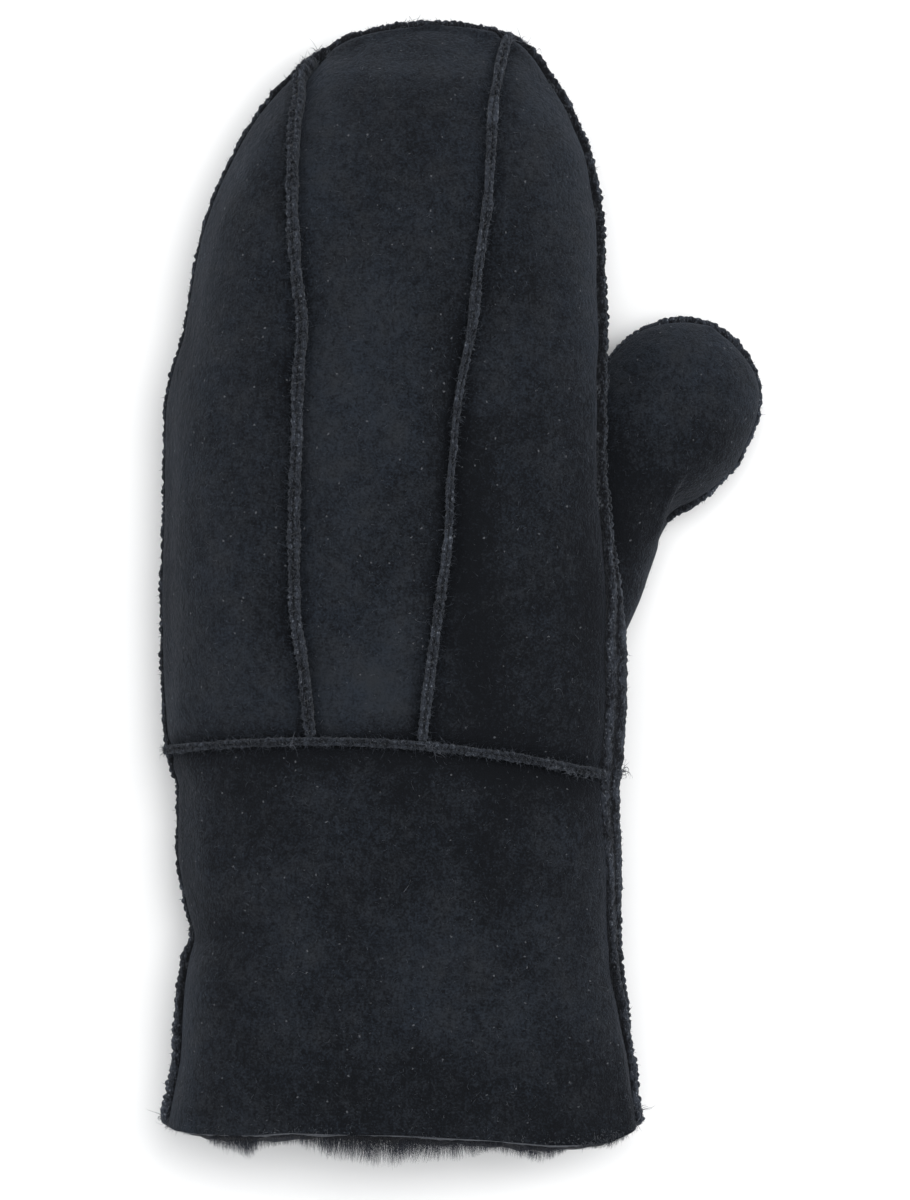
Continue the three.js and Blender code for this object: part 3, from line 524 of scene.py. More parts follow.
class Finish:
    """A material, built from nodes."""

    def __init__(self, name):
        self.material = bpy.data.materials.new(name)
        self.material.use_nodes = True
        self.tree = self.material.node_tree
        self.tree.nodes.clear()

    def node(self, kind, settings=(), sockets=(), output=0):
        """A node of that kind: its settings first, then the values or links of its sockets."""
        node = self.tree.nodes.new(kind)
        for name, value in dict(settings).items():
            setattr(node, name, value)
        for name, value in dict(sockets).items():
            if isinstance(value, Value):
                self.tree.links.new(value.socket, node.inputs[name])
            else:
                node.inputs[name].default_value = value
        return None if output is None else Value(self, node.outputs[output])

    def place(self):
        return self.node("ShaderNodeTexCoord", output="Object")

    def noise(self, size, detail=2.0, rough=0.5, stretch=None):
        """Soft random spots of about that size, 0.5 on average."""
        place = self.place()
        if stretch:
            place = self.node("ShaderNodeVectorMath", {"operation": "MULTIPLY"}, {0: place, 1: stretch})
        sockets = {"Vector": place, "Scale": 1 / size, "Detail": detail, "Roughness": rough}
        return self.node("ShaderNodeTexNoise", {}, sockets)

    def shade(self):
        return self.node("ShaderNodeAttribute", {"attribute_name": "shade"}, output="Fac")

    def mixed(self, share, first, second):
        """The first colour where share is 0 and the second where it is 1."""
        settings = {"data_type": "RGBA", "clamp_factor": True}
        return self.node("ShaderNodeMix", settings, {0: share, 6: first, 7: second}, output=2)

    def surface(self, colour, rough, height, depth, constants):
        bump = self.node("ShaderNodeBump", {}, {"Height": height, "Distance": depth, "Strength": 1.0})
        sockets = {"Base Color": colour, "Roughness": rough, "Normal": bump, **constants}
        shader = self.node("ShaderNodeBsdfPrincipled", {}, sockets)
        self.node("ShaderNodeOutputMaterial", {}, {"Surface": shader}, output=None)


SUEDE_DEEP = (0.0013, 0.0020, 0.0034, 1)
SUEDE_PALE = (0.0154, 0.0205, 0.0290, 1)
SUEDE_DULL = (0.0166, 0.0194, 0.0240, 1)
SUEDE_SPECK = (0.090, 0.095, 0.105, 1)
SUEDE_FEEL = {
    "Specular IOR Level": 0.15,
    "Sheen Weight": 0.08,
    "Sheen Roughness": 0.40,
    "Sheen Tint": (0.70, 0.80, 1.0, 1),
}
# The brushed flesh side: cloudy where the nap lies another way, with short fibres and a few pale specks.
suede = Finish("navy_suede")
clouds = suede.noise(0.0085, detail=3, rough=0.6)
nap = suede.noise(0.0030, detail=4, rough=0.65)
brushed = suede.noise(0.0013, detail=3, rough=0.6, stretch=(1.0, 0.6, 1.0))
grain = suede.noise(0.00060, detail=3, rough=0.75)
cells = {"Vector": suede.place(), "Scale": 1 / 0.0027}
speck = suede.node("ShaderNodeTexVoronoi", {}, cells, output="Distance") < (grain - 0.34) * 0.48
chosen = suede.node("ShaderNodeTexVoronoi", {}, cells, output="Color")
red = suede.node("ShaderNodeSeparateColor", {}, {0: chosen})
# shade: the panels' tone with their painted light and shade.
paler = suede.shade() + (clouds - 0.5) * 0.6 + (nap - 0.5) * 0.9
paler = paler + (brushed - 0.5) * 1.1 + (grain - 0.5) * 2.8
pale = suede.mixed((clouds - 0.5) * 3.0 + nap, SUEDE_PALE, SUEDE_DULL)
suede_colour = suede.mixed(paler, SUEDE_DEEP, pale)
suede_colour = suede.mixed(speck * (red < 0.45) * 0.8, suede_colour, SUEDE_SPECK)
height = nap * 0.25 + brushed * 0.35 + grain * 0.40
suede.surface(suede_colour, 0.88 + (grain - 0.5) * 0.2, height, 0.0012, SUEDE_FEEL)

# At the mitten's own edge the seam shows less on the little finger's side, where the skin rolls out over it,
# than on the thumb's, where it tips up. along: share of the length from the hem. shift: degrees by which the
# seam climbs onto the back. tilt: degrees by which its crest is raised. width: share of the usual one. roll:
# of the skin over the seam, in millimetres.
LITTLE_EDGE = table("""
    along tilt width roll
    0.000 14 1.20 0.0
    0.060 8 1.05 0.0
    0.140 0 0.90 0.4
    0.185 -10 0.60 1.7
    0.310 -12 0.60 1.9
    0.345 -2 0.80 1.2
    0.420 -12 0.60 1.9
    0.800 -10 0.60 1.8
    0.930 -6 0.70 1.3
    1.000 -2 0.75 1.0
""")
THUMB_EDGE = table("""
    along shift tilt width roll
    0.000 0 8 1.00 1.6
    0.060 0 8 0.95 1.4
    0.100 2 18 1.05 0.5
    0.160 7 36 1.30 -0.5
    0.220 10 50 1.75 -1.1
    0.290 12 56 1.95 -1.3
    0.345 13 60 2.05 -1.5
    0.443 13 60 2.05 -1.5
    0.460 12 56 1.90 -1.3
    0.479 11 48 1.65 -0.9
    0.515 8 36 1.10 -0.4
    0.570 5 24 0.85 0.0
    0.660 4 18 0.75 0.2
    0.840 2 10 0.80 0.5
    0.930 0 2 0.75 0.9
    1.000 0 -4 0.70 1.3
""")
little_edge = curves(LITTLE_EDGE["along"], LITTLE_EDGE)
thumb_side_edge = curves(THUMB_EDGE["along"], THUMB_EDGE)


def without(parts, hidden):
    """The same meshes without the faces whose corners are all hidden inside another skin."""
    kept = []
    for points, faces, shade in parts:
        gone = hidden(points.reshape(-1, 3))
        kept.append((points, faces[~gone[faces].all(1)], shade))
    return kept


def panel(name, *where, hidden=None, **how):
    """One panel of the mitten as a piece, and its skin's meshes. hidden: tells which points don't show."""
    parts = skin(*where, **how)
    shown = without(parts, hidden) if hidden else parts
    piece(name + "_suede", shown, suede.material, "suede", name + "_panel")
    return parts


def edge_shift(rows):
    """The angle at which the thumb's side has its edge seam: it climbs onto the back near the wrist."""
    return np.radians(thumb_side_edge["shift"](1 - rows**2))


def rolls(edge, rows):
    return (edge["roll"](1 - rows**2) * MM)[:, None]


hand_angles = np.linspace(0, math.pi, 9)
HAND_START, HAND_END = reach_of(CUFF_LENGTH + SEAM_GAP / 2), 0.004
hand_rows = even_rows(body_point, HAND_START, HAND_END, hand_angles, BACK_SPACING)
SMALL_STEP = 0.004


def round_by(point, reach, angle, distance):
    """The angle that is so far round the section from another one."""
    way = np.linalg.norm(point(reach, angle + SMALL_STEP) - point(reach, angle), axis=-1)
    return angle + distance * SMALL_STEP / np.clip(way, 1e-9, None)


def seam_angle(seam_across, reach):
    return angle_across(seam_across(reach), BACK_ROUNDNESS)


SHORT_OF_TOP = 0.0015


def rows_below(top):
    """The rows of a side panel, which ends just short of where its seam meets the edge."""
    return np.append(hand_rows[hand_rows > top + SHORT_OF_TOP], top + SHORT_OF_TOP)


def roll_at_tip(edge, top):
    """The centre panel reaches the edge itself at the fingertip, and rolls out over the seam there."""
    return rolls(edge, hand_rows) * (1.4 - 1.4 * eased(hand_rows, top * 0.8, top))[:, None]


first = round_by(body_point, hand_rows, seam_angle(thumb_side_seam_across, hand_rows), SEAM_GAP / 2)
first = np.where(hand_rows <= THUMB_SIDE_SEAM_TOP, edge_shift(hand_rows), first)
last = round_by(body_point, hand_rows, seam_angle(little_seam_across, hand_rows), -SEAM_GAP / 2)
last = np.where(hand_rows <= LITTLE_SEAM_TOP, math.pi, last)
tip_rolls = roll_at_tip(thumb_side_edge, THUMB_SIDE_SEAM_TOP), roll_at_tip(little_edge, LITTLE_SEAM_TOP)
sewing = {"rise": SEAM_GAP, "roll": tip_rolls}
centre_back = panel("centre_back", body_point, hand_rows, first, last, seed=11, tone=0.56, **sewing)

rows = rows_below(LITTLE_SEAM_TOP)
first = round_by(body_point, rows, seam_angle(little_seam_across, rows), SEAM_GAP / 2)
last = rows * 0 + math.pi
sewing = {"rise": SEAM_GAP, "sewn": (1, 0.3, 1), "roll": (0, rolls(little_edge, rows))}
little_back = panel("little_finger_back", body_point, rows, first, last, seed=23, tone=0.44, **sewing)

rows = rows_below(THUMB_SIDE_SEAM_TOP)
last = round_by(body_point, rows, seam_angle(thumb_side_seam_across, rows), -SEAM_GAP / 2)
first = edge_shift(rows)
sewing = {"rise": SEAM_GAP, "roll": (rolls(thumb_side_edge, rows), 0)}
thumb_side_back = panel("thumb_side_back", body_point, rows, first, last, seed=37, tone=0.46, **sewing)

# The thumb: two leaves of the same skin, sewn at the free edge and let into the palm, lying beside the hand.
# Its free edge's seam slips under near the root, so that from above the skin folds over there.
THUMB_LENGTH, THUMB_WIDTH, THUMB_DEPTH = 0.091, 0.041, 0.028
THUMB_ANGLE = math.radians(26)
THUMB_RISE, THUMB_OFFSET, THUMB_HALF = 0.0285, 0.0475, 0.020
THUMB_FLATTENING = 1.1
STAND_ON_THUMB = 0.00039
THUMB_SECTIONS = table("""
    along inner outer low high seam turn
    0.000 -0.62 0.10 0.55 0.80 0.66 45
    0.089 -0.66 0.236 0.36 0.92 0.62 45
    0.210 -0.69 0.224 0.20 1.00 0.58 45
    0.321 -0.69 0.196 0.15 1.00 0.55 45
    0.410 -0.69 0.172 0.12 1.00 0.52 45
    0.465 -0.69 0.170 0.08 1.00 0.49 24
    0.543 -0.685 0.245 0.03 1.00 0.47 2
    0.620 -0.670 0.308 0.00 0.99 0.47 0
    0.698 -0.645 0.363 0.00 0.97 0.47 0
    0.794 -0.590 0.356 0.00 0.92 0.47 0
    0.875 -0.530 0.317 0.02 0.84 0.47 0
    0.930 -0.440 0.240 0.08 0.75 0.47 0
    0.975 -0.320 0.100 0.24 0.63 0.47 0
    1.000 -0.140 -0.140 0.47 0.47 0.47 0
""")
thumb_curves = curves(np.sqrt(1 - THUMB_SECTIONS["along"]), THUMB_SECTIONS)
THUMB_AXIS = np.array([math.sin(THUMB_ANGLE), math.cos(THUMB_ANGLE), 0])
THUMB_ACROSS = np.cross(THUMB_AXIS, [0, 0, 1])
THUMB_ROOT = np.array([MIDDLE + THUMB_OFFSET, HEM + CUFF_LENGTH + THUMB_RISE, 0])


def thumb_point(reach, angle):
    reach, angle = np.broadcast_arrays(np.asarray(reach, float), np.asarray(angle, float))
    part = {column: line(reach) for column, line in thumb_curves.items()}
    above = np.sin(angle) >= 0
    across, bulge = round_section(angle, np.where(above, BACK_ROUNDNESS, PALM_ROUNDNESS))
    half, middle = (part["outer"] - part["inner"]) / 2, (part["outer"] + part["inner"]) / 2
    drop = (part["seam"] - part["low"]) * THUMB_FLATTENING * bulge
    top = part["seam"] + (part["high"] - part["seam"]) * bulge
    height = np.where(above, top, np.maximum(part["low"], part["seam"] - drop))
    along = THUMB_LENGTH * (1 - reach**2)
    return (
        THUMB_ROOT
        + along[..., None] * THUMB_AXIS
        + (THUMB_WIDTH * (middle + half * across))[..., None] * THUMB_ACROSS
        + (THUMB_DEPTH * height)[..., None] * [0, 0, 1]
    )


MARGIN, WIDEST = 0.0012, 0.999


def inside(points, point, reach, across, half, margin):
    """Whether each point lies between a form's back and its underside, by more than a margin."""
    clipped = np.clip(across, -WIDEST, WIDEST)
    roof = point(reach, angle_across(clipped, BACK_ROUNDNESS))[..., 2]
    floor = point(reach, -angle_across(clipped, PALM_ROUNDNESS))[..., 2]
    between = (points[..., 2] < roof - margin) & (points[..., 2] > floor + margin)
    return between & (np.abs(across) < 1 - margin / half)


def deep_in_body(points, margin=MARGIN):
    """Whether the body's form holds each point, by more than a margin."""
    from_hem = points[..., 1] - HEM
    for _ in range(5):
        reach = reach_of(from_hem)
        little, thumb = (body_curves[side](reach) * MITTEN_WIDTH for side in ("little", "thumb"))
        across = (points[..., 0] - MIDDLE - (thumb - little) / 2) / ((thumb + little) / 2)
        shift = row_shift(from_hem, np.clip(across, -WIDEST, WIDEST), False)
        from_hem = points[..., 1] - HEM - shift
    return inside(points, body_point, reach_of(from_hem), across, MITTEN_WIDTH / 2, margin)


def deep_in_thumb(points):
    """The same for the thumb's form."""
    here = points - THUMB_ROOT
    along = here @ THUMB_AXIS
    reach = np.sqrt(np.clip(1 - along / THUMB_LENGTH, 0, 1))
    inner, outer = (thumb_curves[side](reach) for side in ("inner", "outer"))
    half, middle = (outer - inner) / 2, (outer + inner) / 2
    across = (here @ THUMB_ACROSS / THUMB_WIDTH - middle) / np.clip(half, 0.01, None)
    held = inside(points, thumb_point, reach, across, THUMB_HALF, MARGIN)
    return held & (along > 0) & (along < THUMB_LENGTH)


def thumb_edge_angle(reach):
    return -np.radians(thumb_curves["turn"](reach))


THUMB_START, THUMB_END = 0.995, 0.006
thumb_rows = even_rows(thumb_point, THUMB_START, THUMB_END, hand_angles, BACK_SPACING)
slip = np.sin(-thumb_edge_angle(thumb_rows)) * STAND_ON_THUMB
leaf_edge = {
    side: np.where(slip > 0, round_by(thumb_point, thumb_rows, thumb_edge_angle(thumb_rows), side * slip), 0)
    for side in (1, -1)
}

# The crease where the free edge turns under: it starts inside the leaf and runs down to the edge. Beyond it
# the leaf lies lower. Painted shade darkens the crease and, more faintly, the lower leaf beyond it.
FOLD_START, FOLD_END = np.array([0.0760, 0.1695]), np.array([0.0700, 0.1545])
FOLD_DROP, FOLD_LIP, FOLD_BOW = 2.1 * MM, 0.5 * MM, 0.7 * MM


def thumb_fold(points):
    chord = FOLD_END - FOLD_START
    length = np.linalg.norm(chord)
    onward = chord / length
    here = points[..., :2] - [MIDDLE, HEM] - FOLD_START
    along = here @ onward / length
    beyond = here @ [-onward[1], onward[0]] + FOLD_BOW * np.sin(math.pi * np.clip(along, 0, 1))
    strength = eased(along, -0.15, 0.55) * (1 - eased(along, 0.95, 1.30))
    low = FOLD_DROP * eased(beyond, -0.2 * MM, 1.1 * MM) * bell(beyond, 9 * MM)
    lip = FOLD_LIP * bell(beyond + 1.2 * MM, 1.3 * MM)
    # Painted shade: a dark line in the crease, and a fainter darkening of the lower leaf.
    crack = bell(beyond - 0.4 * MM, 0.8 * MM)
    crease_shade = crack + 0.36 * (beyond > 0) * bell(beyond, 6 * MM)
    return strength * (lip - low), strength * 0.9 * crease_shade


thumb_along = 1 - thumb_rows**2
THUMB_ROLL = 1.7 * MM
thumb_roll = THUMB_ROLL * eased(thumb_along, 0.38, 0.48) * (1 - 0.6 * eased(thumb_along, 0.90, 1.0))
thumb_roll = thumb_roll[:, None]
BARELY_SEWN, THUMB_PALM_SPACING = (0.3, 0.3, 0), 1.3 * MM
first, last = leaf_edge[1], thumb_rows * 0 + math.pi
sewing = {
    "rise": SEAM_GAP,
    "sewn": BARELY_SEWN,
    "roll": (thumb_roll, thumb_roll),
    "fold": thumb_fold,
    "hidden": deep_in_body,
}
thumb_back = panel("thumb_back", thumb_point, thumb_rows, first, last, seed=41, tone=0.54, **sewing)
rows, first, last = thumb_rows[::2], last[::2], leaf_edge[-1][::2] + 2 * math.pi
sewing = {"sewn": BARELY_SEWN, "roll": (thumb_roll[::2] / 2, thumb_roll[::2] / 2), "hidden": deep_in_body}
panel("thumb_palm", thumb_point, rows, first, last, THUMB_PALM_SPACING, seed=43, **sewing)

# The palm: one skin from the wrist to the fingertips, pressed flat by what it lies on, with the thumb's mouth
# cut in its side. From above only its edge shows, in the seam.
rows = even_rows(body_point, HAND_START, HAND_END, hand_angles + math.pi, PALM_SPACING)
first, last = rows * 0 + math.pi, edge_shift(rows) + 2 * math.pi
sewing = {"sewn": (0.3, 0.3, 1), "roll": (rolls(little_edge, rows), rolls(thumb_side_edge, rows) / 2)}
panel("palm", body_point, rows, first, last, PALM_SPACING, seed=53, hidden=deep_in_thumb, **sewing)

# The cuff: two more skins, back and palm, sewn to the hand at the wrist and left raw at the hem. The wool
# behind the raw edge pushes it out in shallow waves.
cuff_rows = even_rows(body_point, 1.0, reach_of(CUFF_LENGTH - SEAM_GAP / 2), hand_angles, BACK_SPACING)
rows = cuff_rows[::-1]
# At the thumb's corner of the hem the back's skin ends a little short of the seam.
first, last = rows * 0 + math.pi, edge_shift(cuff_rows)
cuff_rolls = rolls(little_edge, rows), rolls(thumb_side_edge, rows)
# The wrist's row is drawn in deepest and painted darkest, as the shade under the wrist seam.
sewing = {"rise": SEAM_GAP, "sewn": (0.3, 0.7, 1.5), "roll": cuff_rolls}
cuff_back = panel("cuff_back", body_point, rows, first, last, seed=61, tone=0.39, **sewing)
rows = cuff_rows[::2]
first, last = rows * 0 + math.pi, edge_shift(rows) + 2 * math.pi
sewing = {"sewn": BARELY_SEWN, "roll": (rolls(little_edge, rows), rolls(thumb_side_edge, rows) / 2)}
panel("cuff_palm", body_point, rows, first, last, PALM_SPACING, seed=67, **sewing)

# The seams: both cut edges stand up side by side and are overcast by hand, a stitch every 4 mm. The thread
# bites into the soft edges, which swell between the stitches and fray in short pale fibres.
RIDGE_WIDTH, RIDGE_HEIGHT = 0.0032, 0.0021
STAND_ON_BACK, STAND_ON_PALM = 0.00078, 0.0006
RIDGE_SPACING, ROUND_END, STREAK_STRETCH = 0.30 * MM, 1.6 * MM, 0.22
# The lips' thickness and height, as shares: at a stitch, what is added where they swell most, and usually.
THICK, THICK_SWELL, USUAL_THICK = 0.86, 0.22, 0.97
TALL, TALL_SWELL, USUAL_TALL = 0.78, 0.28, 0.95
# Painted shade where the lips are pinched thin between stitches.
NOTCH_PAINTED_SHADE = 0.55
# How the stitching and the cut edges vary along a seam and over its surface, as layers of unevenness.
DRIFT, SWELLING = [(0.30, 9 * MM, 0)], [(0.35, 5 * MM, 5)]
THICKNESS, TALLNESS = [(0.07, 3 * MM, 1)], [(0.08, 4 * MM, 2)]
ROUGHNESS = (0.15, 1.6 * MM, 3), (0.10, 0.7 * MM, 6)
MOTTLING = (0.12, 5 * MM, 4), (0.12, 2.2 * MM, 8)
STREAKS = (0.22, 0.9 * MM, 10), (0.16, 0.5 * MM, 11)
# One of the two lips in section, from its foot to the crack between them; the other is its mirror image.
# crest: how near the crest each point lies, which leaves painted shade at the foot and in the crack.
LIPS = table("""
    across out crest
    -0.34 -0.80 0.00
    -0.44 -0.25 0.05
    -0.50 0.25 0.30
    -0.49 0.58 0.65
    -0.40 0.86 0.92
    -0.27 0.98 1.00
    -0.14 0.95 0.80
    -0.04 0.80 0.35
""")
MIRRORED = {"across": -1, "out": 1, "crest": 1}
both_lips = {name: np.append(half, MIRRORED[name] * half[::-1]) for name, half in LIPS.items()}
CUT_EDGE_DEEP = (0.0025, 0.0028, 0.0038, 1)
CUT_EDGE_PALE = (0.0390, 0.0455, 0.0590, 1)
CUT_EDGE_FLECK = (0.150, 0.165, 0.190, 1)
CUT_EDGE_FEEL = {
    "Specular IOR Level": 0.12,
    "Sheen Weight": 0.12,
    "Sheen Roughness": 0.5,
    "Sheen Tint": (0.8, 0.88, 1.0, 1),
}
# Raw, fibrous skin, paler and frayed on the crest, with painted shade darkening it in the crack, at the foot
# and where the lips are pinched between stitches.
cut_edge = Finish("overcast_edge")
lumps = cut_edge.noise(0.0011, detail=4, rough=0.7, stretch=(1.0, 0.45, 1.0))
fibres = cut_edge.noise(0.00050, detail=3, rough=0.8, stretch=(1.0, 0.2, 1.0))
flecks = cut_edge.noise(0.00042, detail=1, stretch=(1.0, 0.6, 1.0))
paler_crest = cut_edge.shade() * 0.66 - 0.20 + (lumps - 0.5) * 1.5 + (fibres - 0.5) * 2.4
edge_colour = cut_edge.mixed(paler_crest, CUT_EDGE_DEEP, CUT_EDGE_PALE)
edge_colour = cut_edge.mixed(cut_edge.shade() * (flecks - 0.60) * 5.0, edge_colour, CUT_EDGE_FLECK)
cut_edge.surface(edge_colour, 0.95, lumps * 0.5 + fibres * 0.5, 0.0008, CUT_EDGE_FEEL)
UPWARD = np.array([0.0, 0.0, 1.0])


def evenly(points, spacing, *others):
    """A path with its points the same distance apart, and what goes with each point."""
    along = lengths_along(points[None], 1)[0]
    at = np.linspace(0, along[-1], int(along[-1] / spacing) + 1)
    lines = points, *others
    return at, *(np.stack([np.interp(at, along, column) for column in line.T], -1) for line in lines)


def direction_out(point, reach, angle):
    around = point(reach, angle + SMALL_STEP) - point(reach, angle - SMALL_STEP)
    back = point(reach + SMALL_STEP, angle) - point(reach - SMALL_STEP, angle)
    return unit(np.cross(around, back))


def ridge(path, out, stand, tilt=0.0, width=1.0, seed=1, height=1.0, pale=0.0):
    """The two lips of a seam along a path. tilt: degrees by which the crest is raised from its direction.
    width, height: shares of the usual ones. pale: added to its shade. All of them may change along it."""
    extra = np.stack([np.broadcast_to(value, len(path)) for value in (tilt, width, height, pale)], -1)
    along, path, out, extra = evenly(path, RIDGE_SPACING, out, extra)
    out = unit(out)
    onward = unit(np.gradient(path, axis=0))
    raised = UPWARD - out * (out @ UPWARD)[:, None]
    raised = unit(raised - onward * (raised * onward).sum(-1, keepdims=True))
    turn = np.radians(extra[:, :1])
    out = unit(out * np.cos(turn) + raised * np.sin(turn))
    side = unit(np.cross(onward, out))
    across, lift, crest = (column[None, :] for column in both_lips.values())
    line = vectors(along, 0, 0)[:, None]
    stitch = along[:, None] / STITCH + mottled(line, seed, DRIFT) + 0.5 * (across > 0) + 0.45 * across
    swell = np.abs(np.sin(math.pi * stitch)) ** 0.8
    strength = 1 + mottled(line, seed, SWELLING)
    thick = THICK + THICK_SWELL * swell * strength + mottled(line, seed, THICKNESS)
    tall = TALL + TALL_SWELL * swell * strength + mottled(line, seed, TALLNESS)
    to_end = np.minimum(along, along[-1] - along)[:, None] / ROUND_END
    rounded = np.where(to_end < 1, np.sqrt(np.clip(1 - (1 - to_end) ** 2, 0.02, 1)), 1)
    share, high, pale = extra[:, 1:2], extra[:, 2:3], extra[:, 3:]
    calm = np.minimum(share, 1) / np.maximum(share, 1) ** 1.5
    wide = across * (USUAL_THICK * share + (thick - USUAL_THICK) * calm) * RIDGE_WIDTH * (0.4 + 0.6 * rounded)
    tall = USUAL_TALL + (tall - USUAL_TALL) * calm
    rise = stand + np.where(lift > 0, lift * tall * rounded * high, lift) * RIDGE_HEIGHT
    grid = path[:, None] + side[:, None] * wide[..., None] + out[:, None] * rise[..., None]
    normal = outward(grid, around=True)
    grid = grid + normal * (MM * mottled(grid, seed, ROUGHNESS) * (0.3 + crest))[..., None]
    # The shade: painted shade at the foot, in the crack and between stitches, with streaks and mottling.
    notch_shade = NOTCH_PAINTED_SHADE * (1 - swell) / np.maximum(share, 1) ** 3
    streaks = mottled(vectors(along[:, None] * STREAK_STRETCH, wide, rise), seed, STREAKS)
    shade = pale + crest * (1 - notch_shade + streaks) + mottled(grid, seed, MOTTLING)
    faces = grid_faces(*grid.shape[:2], around=True)
    centre = grid.mean(axis=1, keepdims=True)
    if ((grid - centre) * normal).sum(-1).mean() < 0:
        faces, normal = faces[:, ::-1], -normal
    parts = [(grid, faces, shade)]
    for row, flip in ((grid[0], True), (grid[-1], False)):
        fan = np.concatenate([row, row.mean(0, keepdims=True)])
        count = len(row)
        loop = np.array([[i, (i + 1) % count, count] for i in range(count)])
        parts.append((fan, loop if flip else loop[:, ::-1], 0.5))
    return {"parts": parts, "grid": grid, "normal": normal, "along": along, "crest": crest}


def ring(aside, other, sides):
    """Directions all round a hair or a thread, from two that are square to it."""
    spin = np.arange(sides)[:, None] * 2 * math.pi / sides
    return aside[..., None, :] * np.cos(spin) + other[..., None, :] * np.sin(spin)


HAIR_SIDES, THREAD_SIDES = 3, 5


def strands(roots, ways, lengths, thick, bend, curl, seed, steps):
    """Tapered hairs from roots, each bending towards bend and curling by a share of its length."""
    rng = np.random.default_rng(seed)
    t = np.linspace(0, 1, steps + 1)[None, :, None]
    ways = unit(ways)
    aside = unit(np.cross(ways, rng.normal(size=ways.shape)))
    other = np.cross(ways, aside)
    size = lengths[:, None, None]
    turn = rng.uniform(0, 2 * math.pi, (len(roots), 1, 1))
    swing = rng.uniform(2.5, 6.0, (len(roots), 1, 1)) * t
    curls = aside[:, None] * (np.sin(turn + swing) - np.sin(turn))
    curls = curls + other[:, None] * (np.cos(turn + swing) - np.cos(turn))
    line = roots[:, None] + (ways[:, None] * t + bend[:, None] * t**2 + curl * curls) * size
    radius = thick / 2 * (1 - 0.85 * t[..., None])
    points = line[:, :, None] + ring(aside, other, HAIR_SIDES)[:, None] * radius
    one = grid_faces(steps + 1, HAIR_SIDES, around=True)
    faces = one + np.arange(len(roots))[:, None, None] * (steps + 1) * HAIR_SIDES
    return points, faces.reshape(-1, 4), np.broadcast_to(t, points.shape[:3])


FIBRE, ROOT_DEPTH = 0.14 * MM, 0.05 * MM


def fray(seam, amount, longest, seed):
    """Short fibres that stand out of a seam's crest: so many to each millimetre."""
    rng = np.random.default_rng(seed)
    rows, columns = seam["grid"].shape[:2]
    count = int(amount * seam["along"][-1] / MM)
    weight = np.clip(seam["crest"][0], 0.02, None) ** 2
    column = rng.choice(columns, count, p=weight / weight.sum())
    row = rng.integers(2, rows - 2, count)
    out = seam["normal"][row, column]
    roots = seam["grid"][row, column] - out * ROOT_DEPTH
    ways = out + rng.normal(scale=0.75, size=(count, 3))
    lengths = longest * rng.uniform(0.25, 1.0, count) ** 1.6
    bend = rng.normal(scale=0.35, size=(count, 3))
    points, faces, shade = strands(roots, ways, lengths, FIBRE, bend, 0.12, seed + 1, steps=2)
    return points, faces, 0.75 + shade


THREAD, BITE = 0.34 * MM, 0.06 * MM
THREAD_DEEP, THREAD_PALE = (0.004, 0.005, 0.007, 1), (0.022, 0.026, 0.034, 1)
waxed = Finish("overcast_thread")
twist = waxed.noise(0.0004, rough=0.7)
thread_colour = waxed.mixed(twist, THREAD_DEEP, THREAD_PALE)
waxed.surface(thread_colour, 0.7, twist, 0.0003, {"Specular IOR Level": 0.35, "Sheen Weight": 0.15})


def overcast(seam, seed):
    """The stitches: loops of thread that climb over both lips and bite into them."""
    rng = np.random.default_rng(seed)
    grid, along = seam["grid"], seam["along"]
    columns = np.arange(1, grid.shape[1] - 1)
    share = (columns - columns[0]) / (columns[-1] - columns[0])
    parts = []
    for place in np.arange(STITCH, along[-1] - STITCH, STITCH * 2):
        at = place + rng.normal(scale=0.15 * MM) + (share - 0.5) * STITCH
        line, out = (
            np.array([[np.interp(a, along, values[:, c, k]) for k in range(3)] for a, c in zip(at, columns)])
            for values in (grid, seam["normal"])
        )
        for _ in range(3):
            line[1:-1] = (line[:-2] + line[1:-1] * 2 + line[2:]) / 4
        line = line - unit(out) * BITE
        onward = unit(np.gradient(line, axis=0))
        aside = unit(np.cross(onward, out))
        tube = line[:, None] + ring(aside, np.cross(aside, onward), THREAD_SIDES) * THREAD / 2
        parts.append((tube, grid_faces(*tube.shape[:2], around=True), 0.5))
    return parts


def path_on(point, reach, angle):
    return point(reach, angle), direction_out(point, reach, angle)


ridges = {}
PAST_WRIST, SHORT_OF_EDGE = 0.003, 0.006
seam_reach = np.linspace(WRIST - PAST_WRIST, LITTLE_SEAM_TOP + SHORT_OF_EDGE, 500)
path = path_on(body_point, seam_reach, seam_angle(little_seam_across, seam_reach))
ridges["little_finger_back_seam"] = ridge(*path, STAND_ON_BACK, width=0.94, seed=101)

# This seam is drawn tight in the middle. along and width as in the edges' tables.
DRAWN_TIGHT = table("""
    along width
    0.36 0.86
    0.45 0.80
    0.52 0.72
    0.58 0.58
    0.66 0.56
    0.73 0.74
    0.90 0.80
""")
seam_reach = np.linspace(WRIST - PAST_WRIST, THUMB_SIDE_SEAM_TOP + SHORT_OF_EDGE, 500)
path = path_on(body_point, seam_reach, seam_angle(thumb_side_seam_across, seam_reach))
width = np.interp(1 - seam_reach**2, *DRAWN_TIGHT.values())
ridges["thumb_side_back_seam"] = ridge(*path, STAND_ON_BACK, width=width, seed=103, pale=0.08)

